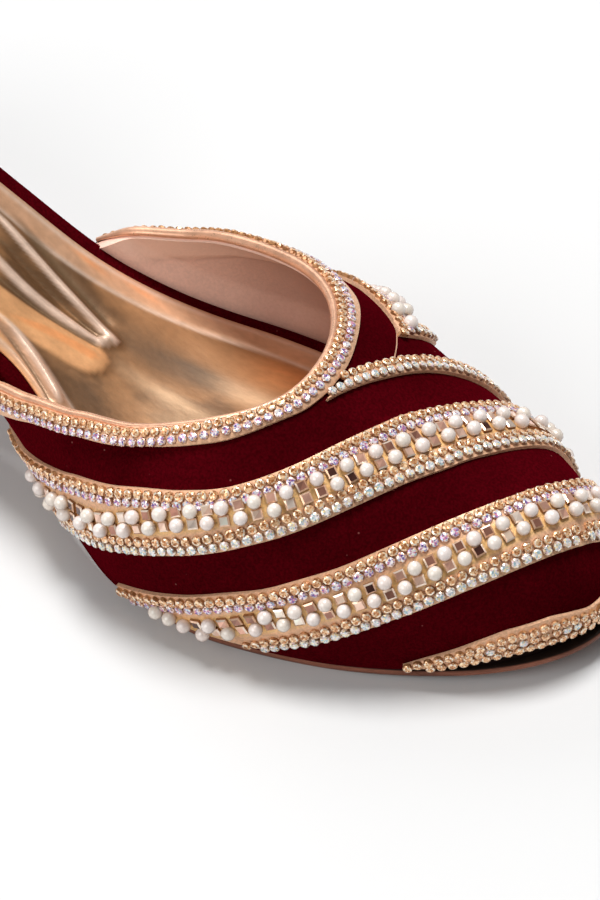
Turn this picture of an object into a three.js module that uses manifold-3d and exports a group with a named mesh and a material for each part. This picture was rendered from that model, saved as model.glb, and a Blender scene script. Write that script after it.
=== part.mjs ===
// Left mule with a block heel, sizes in millimetres.
// Toe along +X, outer side of the foot along +Y, floor at Z = 0.
import * as THREE from 'three';
import { mergeVertices } from 'three/addons/utils/BufferGeometryUtils.js';
import Module from 'manifold-3d';

const wasm = await Module();
wasm.setup();

// Main sizes
const LENGTH = 237.3;
const SOLE_THICK = 2.0;
const BOARD_THICK = 4.6;
const SOCK_THICK = 0.6;
const GAP = 0.3;
const LIFT_THICK = 5.0;

// Where the heel seat and the toe start to round off, and how full the rounding is
const HEEL_ROUND = 25;
const HEEL_POWER = 2.2;
const TOE_START = 165;
const LAST_TOE = { lengthwise: 1.45, crosswise: 2.05 };
const SOLE_TOE = { lengthwise: 1.25, crosswise: 2.27 };

// Upper
const WALL = 1.8;
const UPPER_LENGTH = LENGTH - 2.4;
const SOLE_LEDGE = 0.4;
const TOE_DROP_START = 214;
const TOE_DROP_POWER = 2.4;
const CROWN_ANGLE = 92;
const INNER_SWEEP = 89.5;
const OUTER_SWEEP = 88;
const CROWN_LEAN = -3.0;
const SIDE_BULGE = 0.035;
const SECTION_Y_POWER = 0.92;
const SECTION_Z_POWER = 0.86;
const PANEL_STEP = 0.5;
const PANEL_STEP_RUN = 1.6;

// Board and sock lie inside the upper, the sock a rim's width inside the board
const SOCK_RIM = 3.7;
const BOARD_TOE = UPPER_LENGTH - WALL - 3.2;
const SOCK_TOE = BOARD_TOE - 3.0;
const SOCK_BACK = 3.0;

// Trimming
const BINDING_RADIUS = 0.8;
const BINDING_FROM = 3.5;
const BINDING_TO = 178;
const TAPE_EDGE = 0.5;
const TAPE_CROWN = 0.9;

// Heel
const HEEL_BACK = 0.6;
const HEEL_FRONT = 54;
const HEEL_BOTTOM_BACK = 6;
const HEEL_BOTTOM_FRONT = 45;
const HEEL_BOTTOM_WIDTH = 0.82;

// Last: plan centre line, half width, height of the sole's underside,
// and how far inside that outline the board and the outsole are trimmed
const LAST = [
  { x: 0, centre: 0.0, half: 26.0, rise: 50.0, board: 1.6, sole: 2.4 },
  { x: 25, centre: 0.2, half: 26.0, rise: 48.4, board: 1.6, sole: 2.4 },
  { x: 50, centre: 1.6, half: 25.2, rise: 44.4, board: 1.6, sole: 2.4 },
  { x: 75, centre: 3.7, half: 23.1, rise: 34.4, board: 1.6, sole: 2.4 },
  { x: 92, centre: 6.1, half: 22.1, rise: 23.8, board: 2.0, sole: 3.0 },
  { x: 108, centre: 7.3, half: 23.3, rise: 13.6, board: 3.1, sole: 4.4 },
  { x: 122, centre: 5.8, half: 27.7, rise: 6.4, board: 3.1, sole: 4.0 },
  { x: 135, centre: 2.9, half: 34.0, rise: 1.9, board: 3.1, sole: 2.8 },
  { x: 148, centre: 0.8, half: 38.4, rise: 0.0, board: 3.1, sole: 1.6 },
  { x: 160, centre: -0.5, half: 39.4, rise: 0.0, board: 3.1, sole: 0.8 },
  { x: 172, centre: -1.4, half: 39.2, rise: 0.0, board: 3.1, sole: 0.2 },
  { x: 190, centre: -2.2, half: 38.9, rise: 0.0, board: 3.1, sole: 0.0 },
  { x: 215, centre: -2.3, half: 38.9, rise: 1.7, board: 3.1, sole: 0.0 },
  { x: LENGTH, centre: -2.0, half: 38.9, rise: 4.6, board: 3.1, sole: 0.0 },
];

// Instep: height of the crown above the sole, and how far each wall stands out over the sole's edge
const INSTEP = [
  { x: 95, crest: 32.0, inner: 6.0, outer: 0.2 },
  { x: 118, crest: 42.0, inner: 5.8, outer: 0.2 },
  { x: 138, crest: 45.6, inner: 2.4, outer: 0.4 },
  { x: 155, crest: 46.0, inner: 2.2, outer: 0.8 },
  { x: 170, crest: 43.8, inner: 2.0, outer: 0.6 },
  { x: 185, crest: 38.5, inner: 1.2, outer: 0.5 },
  { x: 200, crest: 32.0, inner: 0.6, outer: 0.4 },
  { x: 215, crest: 26.6, inner: 0.4, outer: 0.3 },
  { x: 228, crest: 22.5, inner: 0.4, outer: 0.2 },
  { x: LENGTH, crest: 18.0, inner: 0.4, outer: 0.2 },
];

// Topline: degrees down from the crown, where the wall is cut and where its tape ends on each side
const TOPLINE = [
  { down: 0, innerWall: 175.2, innerTape: 178.7, outerWall: 175.2, outerTape: 178.7 },
  { down: 12, innerWall: 173.3, innerTape: 176.7, outerWall: 173.0, outerTape: 176.6 },
  { down: 22, innerWall: 168.8, innerTape: 172.4, outerWall: 169.6, outerTape: 174.0 },
  { down: 32, innerWall: 161.2, innerTape: 166.3, outerWall: 163.6, outerTape: 170.0 },
  { down: 40, innerWall: 152.6, innerTape: 158.4, outerWall: 155.2, outerTape: 163.0 },
  { down: 48, innerWall: 141.6, innerTape: 147.2, outerWall: 144.0, outerTape: 151.0 },
  { down: 56, innerWall: 133.0, innerTape: 137.8, outerWall: 134.2, outerTape: 140.0 },
  { down: 64, innerWall: 124.9, innerTape: 129.6, outerWall: 127.0, outerTape: 131.6 },
  { down: 76, innerWall: 113.6, innerTape: 119.0, outerWall: 115.0, outerTape: 120.6 },
  { down: 84, innerWall: 108.4, innerTape: 113.2, outerWall: 109.6, outerTape: 114.2 },
  { down: 90, innerWall: 105.0, innerTape: 109.8, outerWall: 105.8, outerTape: 110.4 },
];

// Tapes across the vamp: degrees round the section from the inner feather edge, rear and front edge
const WRAP = [
  { angle: 84, rear: 178.15, front: 178.5 },
  { angle: 88, rear: 178.75, front: 179.7 },
  { angle: 92, rear: 179.1, front: 181.2 },
  { angle: 97, rear: 179.3, front: 182.9 },
  { angle: 103, rear: 180.9, front: 184.9 },
  { angle: 109, rear: 182.6, front: 186.7 },
  { angle: 116, rear: 185.0, front: 188.8 },
  { angle: 124, rear: 187.4, front: 191.4 },
  { angle: 132, rear: 189.6, front: 193.9 },
  { angle: 146, rear: 193.0, front: 197.8 },
  { angle: 162, rear: 195.8, front: 201.0 },
  { angle: 177, rear: 198.4, front: 203.8 },
];
const FRONT = [
  { angle: 1.5, rear: 114.0, front: 133.4 },
  { angle: 10, rear: 123.4, front: 143.4 },
  { angle: 20, rear: 133.6, front: 158.7 },
  { angle: 30, rear: 144.1, front: 171.5 },
  { angle: 35.5, rear: 151.8, front: 176.7 },
  { angle: 41, rear: 160.7, front: 181.2 },
  { angle: 50, rear: 171.0, front: 186.8 },
  { angle: 62, rear: 178.7, front: 192.5 },
  { angle: 76, rear: 184.5, front: 198.1 },
  { angle: 90, rear: 189.4, front: 203.6 },
  { angle: 104, rear: 194.4, front: 208.2 },
  { angle: 120, rear: 199.0, front: 211.9 },
  { angle: 138, rear: 202.6, front: 214.6 },
  { angle: 158, rear: 206.0, front: 217.0 },
  { angle: 177, rear: 209.2, front: 218.8 },
];
const BALL = [
  { angle: 1.5, rear: 148.2, front: 181.4 },
  { angle: 8, rear: 159.6, front: 190.7 },
  { angle: 16, rear: 171.6, front: 198.4 },
  { angle: 22, rear: 179.8, front: 202.9 },
  { angle: 28, rear: 185.1, front: 207.3 },
  { angle: 38, rear: 192.4, front: 213.4 },
  { angle: 50, rear: 198.8, front: 219.6 },
  { angle: 64, rear: 205.5, front: 224.5 },
  { angle: 80, rear: 212.0, front: 227.8 },
  { angle: 96, rear: 217.2, front: 229.8 },
  { angle: 116, rear: 220.9, front: 230.9 },
  { angle: 140, rear: 222.4, front: 230.9 },
  { angle: 160, rear: 222.8, front: 229.8 },
  { angle: 177, rear: 223.0, front: 229.0 },
];
const SIDE = [
  { angle: 123, rear: 179.6, front: 180.1 },
  { angle: 125.5, rear: 178.6, front: 180.7 },
  { angle: 129, rear: 176.1, front: 181.5 },
  { angle: 134, rear: 171.2, front: 182.2 },
  { angle: 140, rear: 165.2, front: 182.8 },
  { angle: 150, rear: 156.2, front: 182.0 },
  { angle: 164, rear: 144.0, front: 169.8 },
  { angle: 178, rear: 132.0, front: 155.0 },
];

// Toe tape: way round from the toe's tip, height of its lower and upper edge over the sole
const TOE = [
  { round: 0.0, low: 1.0, high: 5.6 },
  { round: 0.15, low: 1.1, high: 6.0 },
  { round: 0.3, low: 1.6, high: 7.8 },
  { round: 0.44, low: 2.2, high: 9.0 },
  { round: 0.61, low: 2.4, high: 8.8 },
  { round: 0.73, low: 2.0, high: 7.5 },
  { round: 0.84, low: 1.4, high: 5.4 },
  { round: 0.94, low: 0.9, high: 3.2 },
  { round: 1.0, low: 0.8, high: 1.5 },
];
const TOE_TAPE_START = 206;
const TOE_TAPE_PAST_TIP = 0.22;

// Mesh steps: across and along each piece
const UPPER_STEPS = { round: 40, along: 24 };
const TAPE_STEPS = { round: 24, across: 4 };
const TOPLINE_STEPS = 40;
const SOLE_STEPS = { along: 40, across: 2 };
const HEEL_STEPS = { along: 14, across: 2 };

const RADIANS = Math.PI / 180;

// Smooth curve through one column of a table, without rising or falling past its rows
function column(rows, name) {
  const [key] = Object.keys(rows[0]);
  const at = rows.map((row) => row[key]);
  const values = rows.map((row) => row[name]);
  const last = rows.length - 1;
  const rate = (i) => (values[i + 1] - values[i]) / (at[i + 1] - at[i]);
  const slope = (i) => {
    if (i === 0) return rate(0);
    if (i === last) return rate(last - 1);
    const before = rate(i - 1);
    const after = rate(i);
    if (before * after <= 0) return 0;
    return (2 * before * after) / (before + after);
  };
  const slopes = at.map((_, i) => slope(i));
  return (x) => {
    let i = 0;
    while (i < last - 1 && x > at[i + 1]) i += 1;
    const span = at[i + 1] - at[i];
    const t = THREE.MathUtils.clamp((x - at[i]) / span, 0, 1);
    const from = (1 + 2 * t) * (1 - t) ** 2 * values[i] + t * (1 - t) ** 2 * span * slopes[i];
    const to = t * t * (3 - 2 * t) * values[i + 1] + t * t * (t - 1) * span * slopes[i + 1];
    return from + to;
  };
}

const centre = column(LAST, 'centre');
const fullHalf = column(LAST, 'half');
const rise = column(LAST, 'rise');
const boardInset = column(LAST, 'board');
const soleInset = column(LAST, 'sole');
const crest = column(INSTEP, 'crest');
const innerFlare = column(INSTEP, 'inner');
const outerFlare = column(INSTEP, 'outer');
const toplineWall = [column(TOPLINE, 'innerWall'), column(TOPLINE, 'outerWall')];
const toplineTape = [column(TOPLINE, 'innerTape'), column(TOPLINE, 'outerTape')];
const wrapRear = column(WRAP, 'rear');

// Share of the full width that is left near the rounded back and toe of a piece
function rounding(x, toe, heelEnd = 0, shape = LAST_TOE) {
  const back = THREE.MathUtils.clamp((heelEnd + HEEL_ROUND - x) / HEEL_ROUND, 0, 1);
  const front = THREE.MathUtils.clamp((x - TOE_START) / (toe - TOE_START), 0, 1);
  const heel = (1 - back ** HEEL_POWER) ** (1 / HEEL_POWER);
  return heel * (1 - front ** shape.lengthwise) ** (1 / shape.crosswise);
}

// Half width of a flat piece that keeps an inset from the last's outline
function halfWidth(x, inset, toe, heelEnd, shape) {
  return (fullHalf(x) - inset) * rounding(x, toe, heelEnd, shape);
}

// Height of the vamp's crown over the sole for a wall face this far inside the outer face
function crownHeight(x, inside) {
  const length = UPPER_LENGTH - inside;
  const front = THREE.MathUtils.clamp((x - TOE_DROP_START) / (length - TOE_DROP_START), 0, 1);
  return (crest(x) - inside) * (1 - front ** TOE_DROP_POWER) ** (1 / TOE_DROP_POWER);
}

// Point of the upper: angle 0 at the inner feather edge, 180 at the outer one
function section(x, angle, inside) {
  const turn = THREE.MathUtils.clamp(angle, 0, 180) * RADIANS;
  const up = Math.max(Math.sin(turn), 0);
  const out = Math.cos(turn);
  const round = rounding(x, UPPER_LENGTH - inside);
  const width = (fullHalf(x) - SOLE_LEDGE - inside) * round;
  const bulge = 1 + SIDE_BULGE * Math.sin(2 * turn) ** 2;
  const rollout = 1 - (1 - Math.min(4 * up, 1)) ** 2;
  const flare = (out > 0 ? innerFlare(x) : outerFlare(x)) * out * rollout * round;
  const side = Math.sign(out) * Math.abs(out) ** SECTION_Y_POWER * width * bulge;
  const lean = CROWN_LEAN * up * up * round;
  const y = centre(x) - side - flare + lean;
  const z = rise(x) + SOLE_THICK + GAP + crownHeight(x, inside) * up ** SECTION_Z_POWER;
  return new THREE.Vector3(x, y, z);
}

// Outward direction of the upper's outer face
function outward(x, angle) {
  const a = THREE.MathUtils.clamp(angle, 0.6, 179.4);
  const alongX = section(x + 0.1, a, 0).sub(section(x - 0.1, a, 0));
  const round = section(x, a + 0.5, 0).sub(section(x, a - 0.5, 0));
  return alongX.cross(round).normalize();
}

// How far down from the crown towards the feather edge, 90 at the end of each side's sweep
function down(angle) {
  const sweep = angle < CROWN_ANGLE ? INNER_SWEEP : OUTER_SWEEP;
  return (Math.abs(angle - CROWN_ANGLE) / sweep) * 90;
}

// Station where an edge of the topline, given for the inner and the outer side, crosses an angle
function toplineAt([inner, outer], angle) {
  return angle < CROWN_ANGLE ? inner(down(angle)) : outer(down(angle));
}

// Share of the panel step at a spot: the outer panel lies under the wrapped one, behind its edge
function underPanel(x, angle) {
  const behind = THREE.MathUtils.smoothstep(wrapRear(angle) + PANEL_STEP_RUN - x, 0, PANEL_STEP_RUN);
  return behind * THREE.MathUtils.smoothstep(angle, 92, 97);
}

// Outer face of the upper, or a face standing off it
function skin(x, angle, lift) {
  const stand = lift - PANEL_STEP * underPanel(x, angle);
  return section(x, angle, 0).addScaledVector(outward(x, angle), stand);
}

// Closed solid between two faces that share one grid
function plate(top, bottom, rows, columns) {
  const points = [];
  const faces = [];
  const stride = columns + 1;
  const floor = (rows + 1) * stride;
  for (const face of [top, bottom]) {
    for (let i = 0; i <= rows; i += 1) {
      for (let j = 0; j <= columns; j += 1) points.push(...face(i / rows, j / columns).toArray());
    }
  }
  const quad = (a, b, c, d) => faces.push(a, b, c, a, c, d);
  for (let i = 0; i < rows; i += 1) {
    for (let j = 0; j < columns; j += 1) {
      const a = i * stride + j;
      quad(a, a + stride, a + stride + 1, a + 1);
      quad(floor + a, floor + a + 1, floor + a + stride + 1, floor + a + stride);
    }
    const start = i * stride;
    const end = start + columns;
    quad(start, floor + start, floor + start + stride, start + stride);
    quad(end, end + stride, floor + end + stride, floor + end);
  }
  for (let j = 0; j < columns; j += 1) {
    const tail = rows * stride + j;
    quad(j, j + 1, floor + j + 1, floor + j);
    quad(tail, floor + tail, floor + tail + 1, tail + 1);
  }
  return welded(points, faces);
}

// Joins equal points and drops the triangles that close up where a grid runs to a point
function welded(points, faces) {
  const loose = new THREE.BufferGeometry();
  loose.setAttribute('position', new THREE.Float32BufferAttribute(points, 3));
  loose.setIndex(faces);
  const geometry = mergeVertices(loose, 1e-3);
  const index = Array.from(geometry.index.array);
  const kept = [];
  for (let i = 0; i < index.length; i += 3) {
    const [a, b, c] = index.slice(i, i + 3);
    if (a !== b && b !== c && c !== a) kept.push(a, b, c);
  }
  geometry.setIndex(kept);
  geometry.computeVertexNormals();
  return geometry;
}

// Stations along a flat piece, closer together at its rounded ends
function spread(share, from, to) {
  return from + (to - from) * 0.5 * (1 - Math.cos(Math.PI * share));
}

// Flat piece that follows the last's plan and rise between two heights over the sole's underside
function layer(from, to, low, high, inset, edge, shape) {
  const heelEnd = Math.min(from, SOCK_BACK);
  const face = (height, extra) => (i, j) => {
    const x = spread(i, from, to);
    const half = Math.max(halfWidth(x, inset(x) + extra, to, heelEnd, shape), 0);
    return new THREE.Vector3(x, centre(x) + half * (2 * j - 1), rise(x) + height);
  };
  return plate(face(high, 0), face(low, edge), SOLE_STEPS.along, SOLE_STEPS.across);
}

// Upper: one shell from the topline to the toe, its outer face moved out by a clearance
function upperShell(clearance) {
  const angleAt = (i) => 180 * (0.55 * i + 0.225 * (1 - Math.cos(Math.PI * i)));
  const stationAt = (i, j, length) => {
    const start = toplineAt(toplineWall, angleAt(i));
    return start + (length - start) * Math.sin((j * Math.PI) / 2);
  };
  const outer = (i, j) => {
    if (j === 1) return section(UPPER_LENGTH, 0, 0);
    return skin(stationAt(i, j, UPPER_LENGTH), angleAt(i), clearance);
  };
  const inner = (i, j) => section(stationAt(i, j, UPPER_LENGTH - WALL), angleAt(i), WALL);
  return plate(inner, outer, UPPER_STEPS.round, UPPER_STEPS.along);
}

// Rolled binding on the cut edge of the wall
function binding() {
  const middle = WALL / 2;
  const edge = (angle) => section(toplineAt(toplineWall, angle), angle, middle);
  const path = [];
  for (let k = 0; k <= TOPLINE_STEPS; k += 1) {
    const angle = THREE.MathUtils.lerp(BINDING_FROM, BINDING_TO, k / TOPLINE_STEPS);
    const along = edge(angle + 0.5).sub(edge(angle - 0.5));
    const away = outward(edge(angle).x, angle).cross(along).normalize();
    if (away.x > 0) away.negate();
    path.push(edge(angle).addScaledVector(away, BINDING_RADIUS + 1.5 * GAP));
  }
  const ring = new THREE.Shape();
  ring.absarc(0, 0, BINDING_RADIUS, 0, 2 * Math.PI);
  const tube = new THREE.ExtrudeGeometry(ring, {
    steps: TOPLINE_STEPS,
    curveSegments: 4,
    bevelEnabled: false,
    extrudePath: new THREE.CatmullRomCurve3(path),
  });
  tube.deleteAttribute('normal');
  tube.deleteAttribute('uv');
  const joined = mergeVertices(tube, 1e-3);
  joined.computeVertexNormals();
  return joined;
}

// Thickness of a tape across its width
function tapeThick(across) {
  return TAPE_EDGE + (TAPE_CROWN - TAPE_EDGE) * (1 - (2 * across - 1) ** 4);
}

function solidOf(geometry) {
  const vertProperties = new Float32Array(geometry.attributes.position.array);
  const triVerts = new Uint32Array(geometry.index.array);
  return new wasm.Manifold(new wasm.Mesh({ numProp: 3, vertProperties, triVerts }));
}

function geometryOf(solid) {
  const mesh = solid.getMesh();
  return welded(Array.from(mesh.vertProperties), Array.from(mesh.triVerts));
}

// Tape on the upper, trimmed underneath to a clearance from the upper's face
// A spot gives the station and angle for a place along and across the tape
function tape(spot, steps) {
  const low = (i, j) => skin(...spot(i, j), -TAPE_EDGE);
  const high = (i, j) => skin(...spot(i, j), GAP + tapeThick(j));
  const blank = solidOf(plate(high, low, steps, TAPE_STEPS.across));
  const trimmed = blank.subtract(clearUpper).decompose();
  trimmed.sort((a, b) => b.volume() - a.volume());
  return geometryOf(trimmed[0]);
}

// Tape that runs round the section between two edges of a table
function crossTape(rows) {
  const rear = column(rows, 'rear');
  const front = column(rows, 'front');
  const first = rows[0].angle;
  const reach = rows[rows.length - 1].angle - first;
  const spot = (i, j) => {
    const angle = first + reach * i;
    return [rear(angle) + (front(angle) - rear(angle)) * (1 - j), angle];
  };
  return tape(spot, TAPE_STEPS.round);
}

// Tape that borders the topline
function toplineBand() {
  const spot = (i, j) => {
    const angle = THREE.MathUtils.lerp(BINDING_FROM, BINDING_TO, i);
    const start = toplineAt(toplineWall, angle) + GAP;
    return [start + (toplineAt(toplineTape, angle) - start) * (1 - j), angle];
  };
  return tape(spot, TOPLINE_STEPS);
}

// Station in the toe where the crown comes down to a height
function tipStation(height) {
  let near = TOE_DROP_START;
  let far = UPPER_LENGTH;
  for (let k = 0; k < 40; k += 1) {
    const middle = (near + far) / 2;
    if (crownHeight(middle, 0) > height) near = middle;
    else far = middle;
  }
  return near;
}

// Tapered tape round the toe between two heights
function toeBand() {
  const low = column(TOE, 'low');
  const high = column(TOE, 'high');
  const spot = (i, j) => {
    const way = (1 + TOE_TAPE_PAST_TIP) * i - 1;
    const round = Math.abs(way);
    const height = low(round) + (high(round) - low(round)) * j;
    const tip = tipStation(height);
    const x = tip - (tip - TOE_TAPE_START) * round * round;
    const up = Math.min((height / crownHeight(x, 0)) ** (1 / SECTION_Z_POWER), 1);
    const angle = Math.asin(up) / RADIANS;
    return [x, way < 0 ? angle : 180 - angle];
  };
  return tape(spot, TAPE_STEPS.round);
}

// Block heel and top lift share one taper from the seat down to the floor
function heelPoint(i, j, level) {
  const seatX = spread(i, HEEL_BACK, HEEL_FRONT);
  const seatHalf = halfWidth(seatX, boardInset(seatX) + 0.8, BOARD_TOE, 0);
  const share = (seatX - HEEL_BACK) / (HEEL_FRONT - HEEL_BACK);
  const footX = THREE.MathUtils.lerp(HEEL_BOTTOM_BACK, HEEL_BOTTOM_FRONT, share);
  const x = THREE.MathUtils.lerp(footX, seatX, level);
  const half = seatHalf * THREE.MathUtils.lerp(HEEL_BOTTOM_WIDTH, 1, level);
  return { x, y: centre(seatX) * level + half * (2 * j - 1), seat: rise(seatX) + SOLE_THICK };
}

function heelBlock() {
  const top = (i, j) => {
    const p = heelPoint(i, j, 1);
    return new THREE.Vector3(p.x, p.y, p.seat);
  };
  const bottom = (i, j) => {
    const p = heelPoint(i, j, 0.1);
    return new THREE.Vector3(p.x, p.y, LIFT_THICK + GAP);
  };
  return plate(top, bottom, HEEL_STEPS.along, HEEL_STEPS.across);
}

function topLift() {
  const face = (z, level) => (i, j) => {
    const p = heelPoint(i, j, level);
    return new THREE.Vector3(p.x, p.y, z);
  };
  return plate(face(LIFT_THICK, 0.1), face(0, 0), HEEL_STEPS.along, HEEL_STEPS.across);
}

const clearUpper = solidOf(upperShell(GAP));

// Heights of the layers over the sole's underside
const BOARD_LOW = SOLE_THICK + GAP;
const BOARD_HIGH = BOARD_LOW + BOARD_THICK;
const SOCK_LOW = BOARD_HIGH + GAP;
const sockInset = (x) => boardInset(x) + SOCK_RIM;

const velvet = new THREE.MeshStandardMaterial({ color: 0x4a020b, roughness: 0.9, metalness: 0 });
const roseGold = new THREE.MeshStandardMaterial({ color: 0xd9a585, roughness: 0.35, metalness: 0.7 });
const goldSock = new THREE.MeshStandardMaterial({ color: 0xba8456, roughness: 0.3, metalness: 0.8 });
const jewelled = new THREE.MeshStandardMaterial({ color: 0xe3bfa2, roughness: 0.25, metalness: 0.4 });
const soleLeather = new THREE.MeshStandardMaterial({ color: 0x5b3226, roughness: 0.55, metalness: 0 });
const liftRubber = new THREE.MeshStandardMaterial({ color: 0x33241f, roughness: 0.7, metalness: 0 });

const pieces = [
  ['outsole', layer(HEEL_FRONT + GAP, LENGTH, 0, SOLE_THICK, soleInset, 0.5, SOLE_TOE), soleLeather],
  ['insole_board', layer(0, BOARD_TOE, BOARD_LOW, BOARD_HIGH, boardInset, 0), velvet],
  ['sock', layer(SOCK_BACK, SOCK_TOE, SOCK_LOW, SOCK_LOW + SOCK_THICK, sockInset, 0), goldSock],
  ['upper', upperShell(0), velvet],
  ['topline_binding', binding(), roseGold],
  ['band_topline', toplineBand(), jewelled],
  ['band_wrap', crossTape(WRAP), jewelled],
  ['band_front', crossTape(FRONT), jewelled],
  ['band_ball', crossTape(BALL), jewelled],
  ['band_side', crossTape(SIDE), jewelled],
  ['band_toe', toeBand(), jewelled],
  ['heel', heelBlock(), velvet],
  ['top_lift', topLift(), liftRubber],
];

const mule = new THREE.Group();
mule.name = 'mule';
for (const [name, geometry, material] of pieces) {
  const mesh = new THREE.Mesh(geometry, material);
  mesh.name = name;
  mule.add(mesh);
}

// Origin under the middle of the shoe, on the floor
const box = new THREE.Box3().setFromObject(mule);
const middle = box.getCenter(new THREE.Vector3());
for (const mesh of mule.children) mesh.geometry.translate(-middle.x, -middle.y, -box.min.z);

export default mule;
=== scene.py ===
import math

import bmesh
import bpy
import numpy as np
from bpy.props import FloatProperty, FloatVectorProperty, PointerProperty
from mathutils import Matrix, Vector


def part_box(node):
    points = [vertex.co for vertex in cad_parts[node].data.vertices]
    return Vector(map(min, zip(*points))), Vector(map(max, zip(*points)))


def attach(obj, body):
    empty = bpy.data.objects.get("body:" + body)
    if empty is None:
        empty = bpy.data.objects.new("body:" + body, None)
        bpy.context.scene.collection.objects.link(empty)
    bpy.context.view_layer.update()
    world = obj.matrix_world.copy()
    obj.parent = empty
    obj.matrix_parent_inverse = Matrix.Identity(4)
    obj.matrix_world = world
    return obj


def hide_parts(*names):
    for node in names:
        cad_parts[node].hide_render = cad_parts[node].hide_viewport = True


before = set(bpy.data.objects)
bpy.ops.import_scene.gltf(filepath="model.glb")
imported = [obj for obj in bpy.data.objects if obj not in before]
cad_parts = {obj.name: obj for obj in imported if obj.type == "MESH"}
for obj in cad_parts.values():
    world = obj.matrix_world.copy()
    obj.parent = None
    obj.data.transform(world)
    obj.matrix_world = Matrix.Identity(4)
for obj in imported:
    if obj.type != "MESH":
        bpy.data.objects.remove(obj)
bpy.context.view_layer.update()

bl_info = {
    "name": "Embellished mule",
    "version": (1, 0, 0),
    "blender": (4, 5, 0),
    "location": "View3D > Sidebar > Mule",
    "description": "Dresses a left velvet mule with jewelled tapes over its measured frame",
    "category": "Object",
}

MM = 0.001

# Main sizes of the last and its layers, in millimetres
LENGTH = 237.3
SOLE_THICK = 2.0
BOARD_THICK = 4.6
SOCK_THICK = 0.6
GAP = 0.3
LIFT_THICK = 5.0
HEEL_ROUND = 25.0
HEEL_POWER = 2.2
TOE_START = 165.0
LAST_TOE = {"lengthwise": 1.45, "crosswise": 2.05}
SOLE_TOE = {"lengthwise": 1.25, "crosswise": 2.27}
WALL = 1.8
UPPER_LENGTH = LENGTH - 2.4
SOLE_LEDGE = 0.4
TOE_DROP_START = 214.0
TOE_DROP_POWER = 2.4
CROWN_ANGLE = 92.0
INNER_SWEEP = 89.5
OUTER_SWEEP = 88.0
CROWN_LEAN = -3.0
SIDE_BULGE = 0.035
SECTION_Y_POWER = 0.92
SECTION_Z_POWER = 0.86
PANEL_STEP = 0.5
PANEL_STEP_RUN = 1.6
PANEL_STEP_TURN = 5.0
SOCK_RIM = 3.7
BOARD_TOE = UPPER_LENGTH - WALL - 3.2
SOCK_TOE = BOARD_TOE - 3.0
SOCK_BACK = 3.0
BINDING_RADIUS = 0.8
BINDING_FROM = 3.5
BINDING_TO = 178.0
TAPE_EDGE = 0.5
TAPE_CROWN = 0.9
HEEL_BACK = 0.6
HEEL_FRONT = 54.0
HEEL_BOTTOM_BACK = 6.0
HEEL_BOTTOM_FRONT = 45.0
HEEL_BOTTOM_WIDTH = 0.82
TOE_TAPE_START = 206.0
TOE_TAPE_PAST_TIP = 0.22

# How far a dressed piece runs into the gap that the solids keep
CLOSED_GAP = GAP - 0.05

# Lines on the upper: how far its wall runs on under the rolled edge, width of the lining's facing, and
# degrees kept clear at both feather edges
EDGE_MEET = 0.7
FACING_WIDTH = 5.8
FEATHER = 0.4

# Topline at the crown: turns in degrees over which it is averaged, and how far round that reaches
EASE_TURNS = (-8, -4, 0, 4, 8)
EASE_REACH = 11.0

# Steps for slopes of the upper, in millimetres and degrees, and the longest single move beside a line
NUDGE = 0.1
FINE_TURN = 0.25
WIDE_TURN = 0.5
SIDE_STEP = 1.2

# Most that an edge profile may step in, as a share of a layer's half width
STEP_LIMIT = 0.8

BOARD_LOW = SOLE_THICK + GAP
BOARD_HIGH = BOARD_LOW + BOARD_THICK
SOCK_LOW = BOARD_HIGH + GAP


def table(names, *rows):
    """Columns of a small table by name; the first column is its key."""
    return dict(zip(names.split(), np.array(rows, float).T))


# Last: plan centre line, half width, rise of the sole, insets of board and outsole
LAST = table(
    "x centre half rise board sole",
    (0, 0.0, 26.0, 50.0, 1.6, 2.4),
    (25, 0.2, 26.0, 48.4, 1.6, 2.4),
    (50, 1.6, 25.2, 44.4, 1.6, 2.4),
    (75, 3.7, 23.1, 34.4, 1.6, 2.4),
    (92, 6.1, 22.1, 23.8, 2.0, 3.0),
    (108, 7.3, 23.3, 13.6, 3.1, 4.4),
    (122, 5.8, 27.7, 6.4, 3.1, 4.0),
    (135, 2.9, 34.0, 1.9, 3.1, 2.8),
    (148, 0.8, 38.4, 0.0, 3.1, 1.6),
    (160, -0.5, 39.4, 0.0, 3.1, 0.8),
    (172, -1.4, 39.2, 0.0, 3.1, 0.2),
    (190, -2.2, 38.9, 0.0, 3.1, 0.0),
    (215, -2.3, 38.9, 1.7, 3.1, 0.0),
    (LENGTH, -2.0, 38.9, 4.6, 3.1, 0.0),
)

# Instep: height of the crown over the sole and how far each wall stands out
INSTEP = table(
    "x crest inner outer",
    (95, 32.0, 6.0, 0.2),
    (118, 42.0, 5.8, 0.2),
    (138, 45.6, 2.4, 0.4),
    (155, 46.0, 2.2, 0.8),
    (170, 43.8, 2.0, 0.6),
    (185, 38.5, 1.2, 0.5),
    (200, 32.0, 0.6, 0.4),
    (215, 26.6, 0.4, 0.3),
    (228, 22.5, 0.4, 0.2),
    (LENGTH, 18.0, 0.4, 0.2),
)

# Topline: degrees down from the crown, where the wall is cut and where its tape ends on each side
TOPLINE = table(
    "down inner_wall inner_tape outer_wall outer_tape",
    (0, 175.2, 178.7, 175.2, 178.7),
    (12, 173.3, 176.7, 173.0, 176.6),
    (22, 168.8, 172.4, 169.6, 174.0),
    (32, 161.2, 166.3, 163.6, 170.0),
    (40, 152.6, 158.4, 155.2, 163.0),
    (48, 141.6, 147.2, 144.0, 151.0),
    (56, 133.0, 137.8, 134.2, 140.0),
    (64, 124.9, 129.6, 127.0, 131.6),
    (76, 113.6, 119.0, 115.0, 120.6),
    (84, 108.4, 113.2, 109.6, 114.2),
    (90, 105.0, 109.8, 105.8, 110.4),
)

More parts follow.
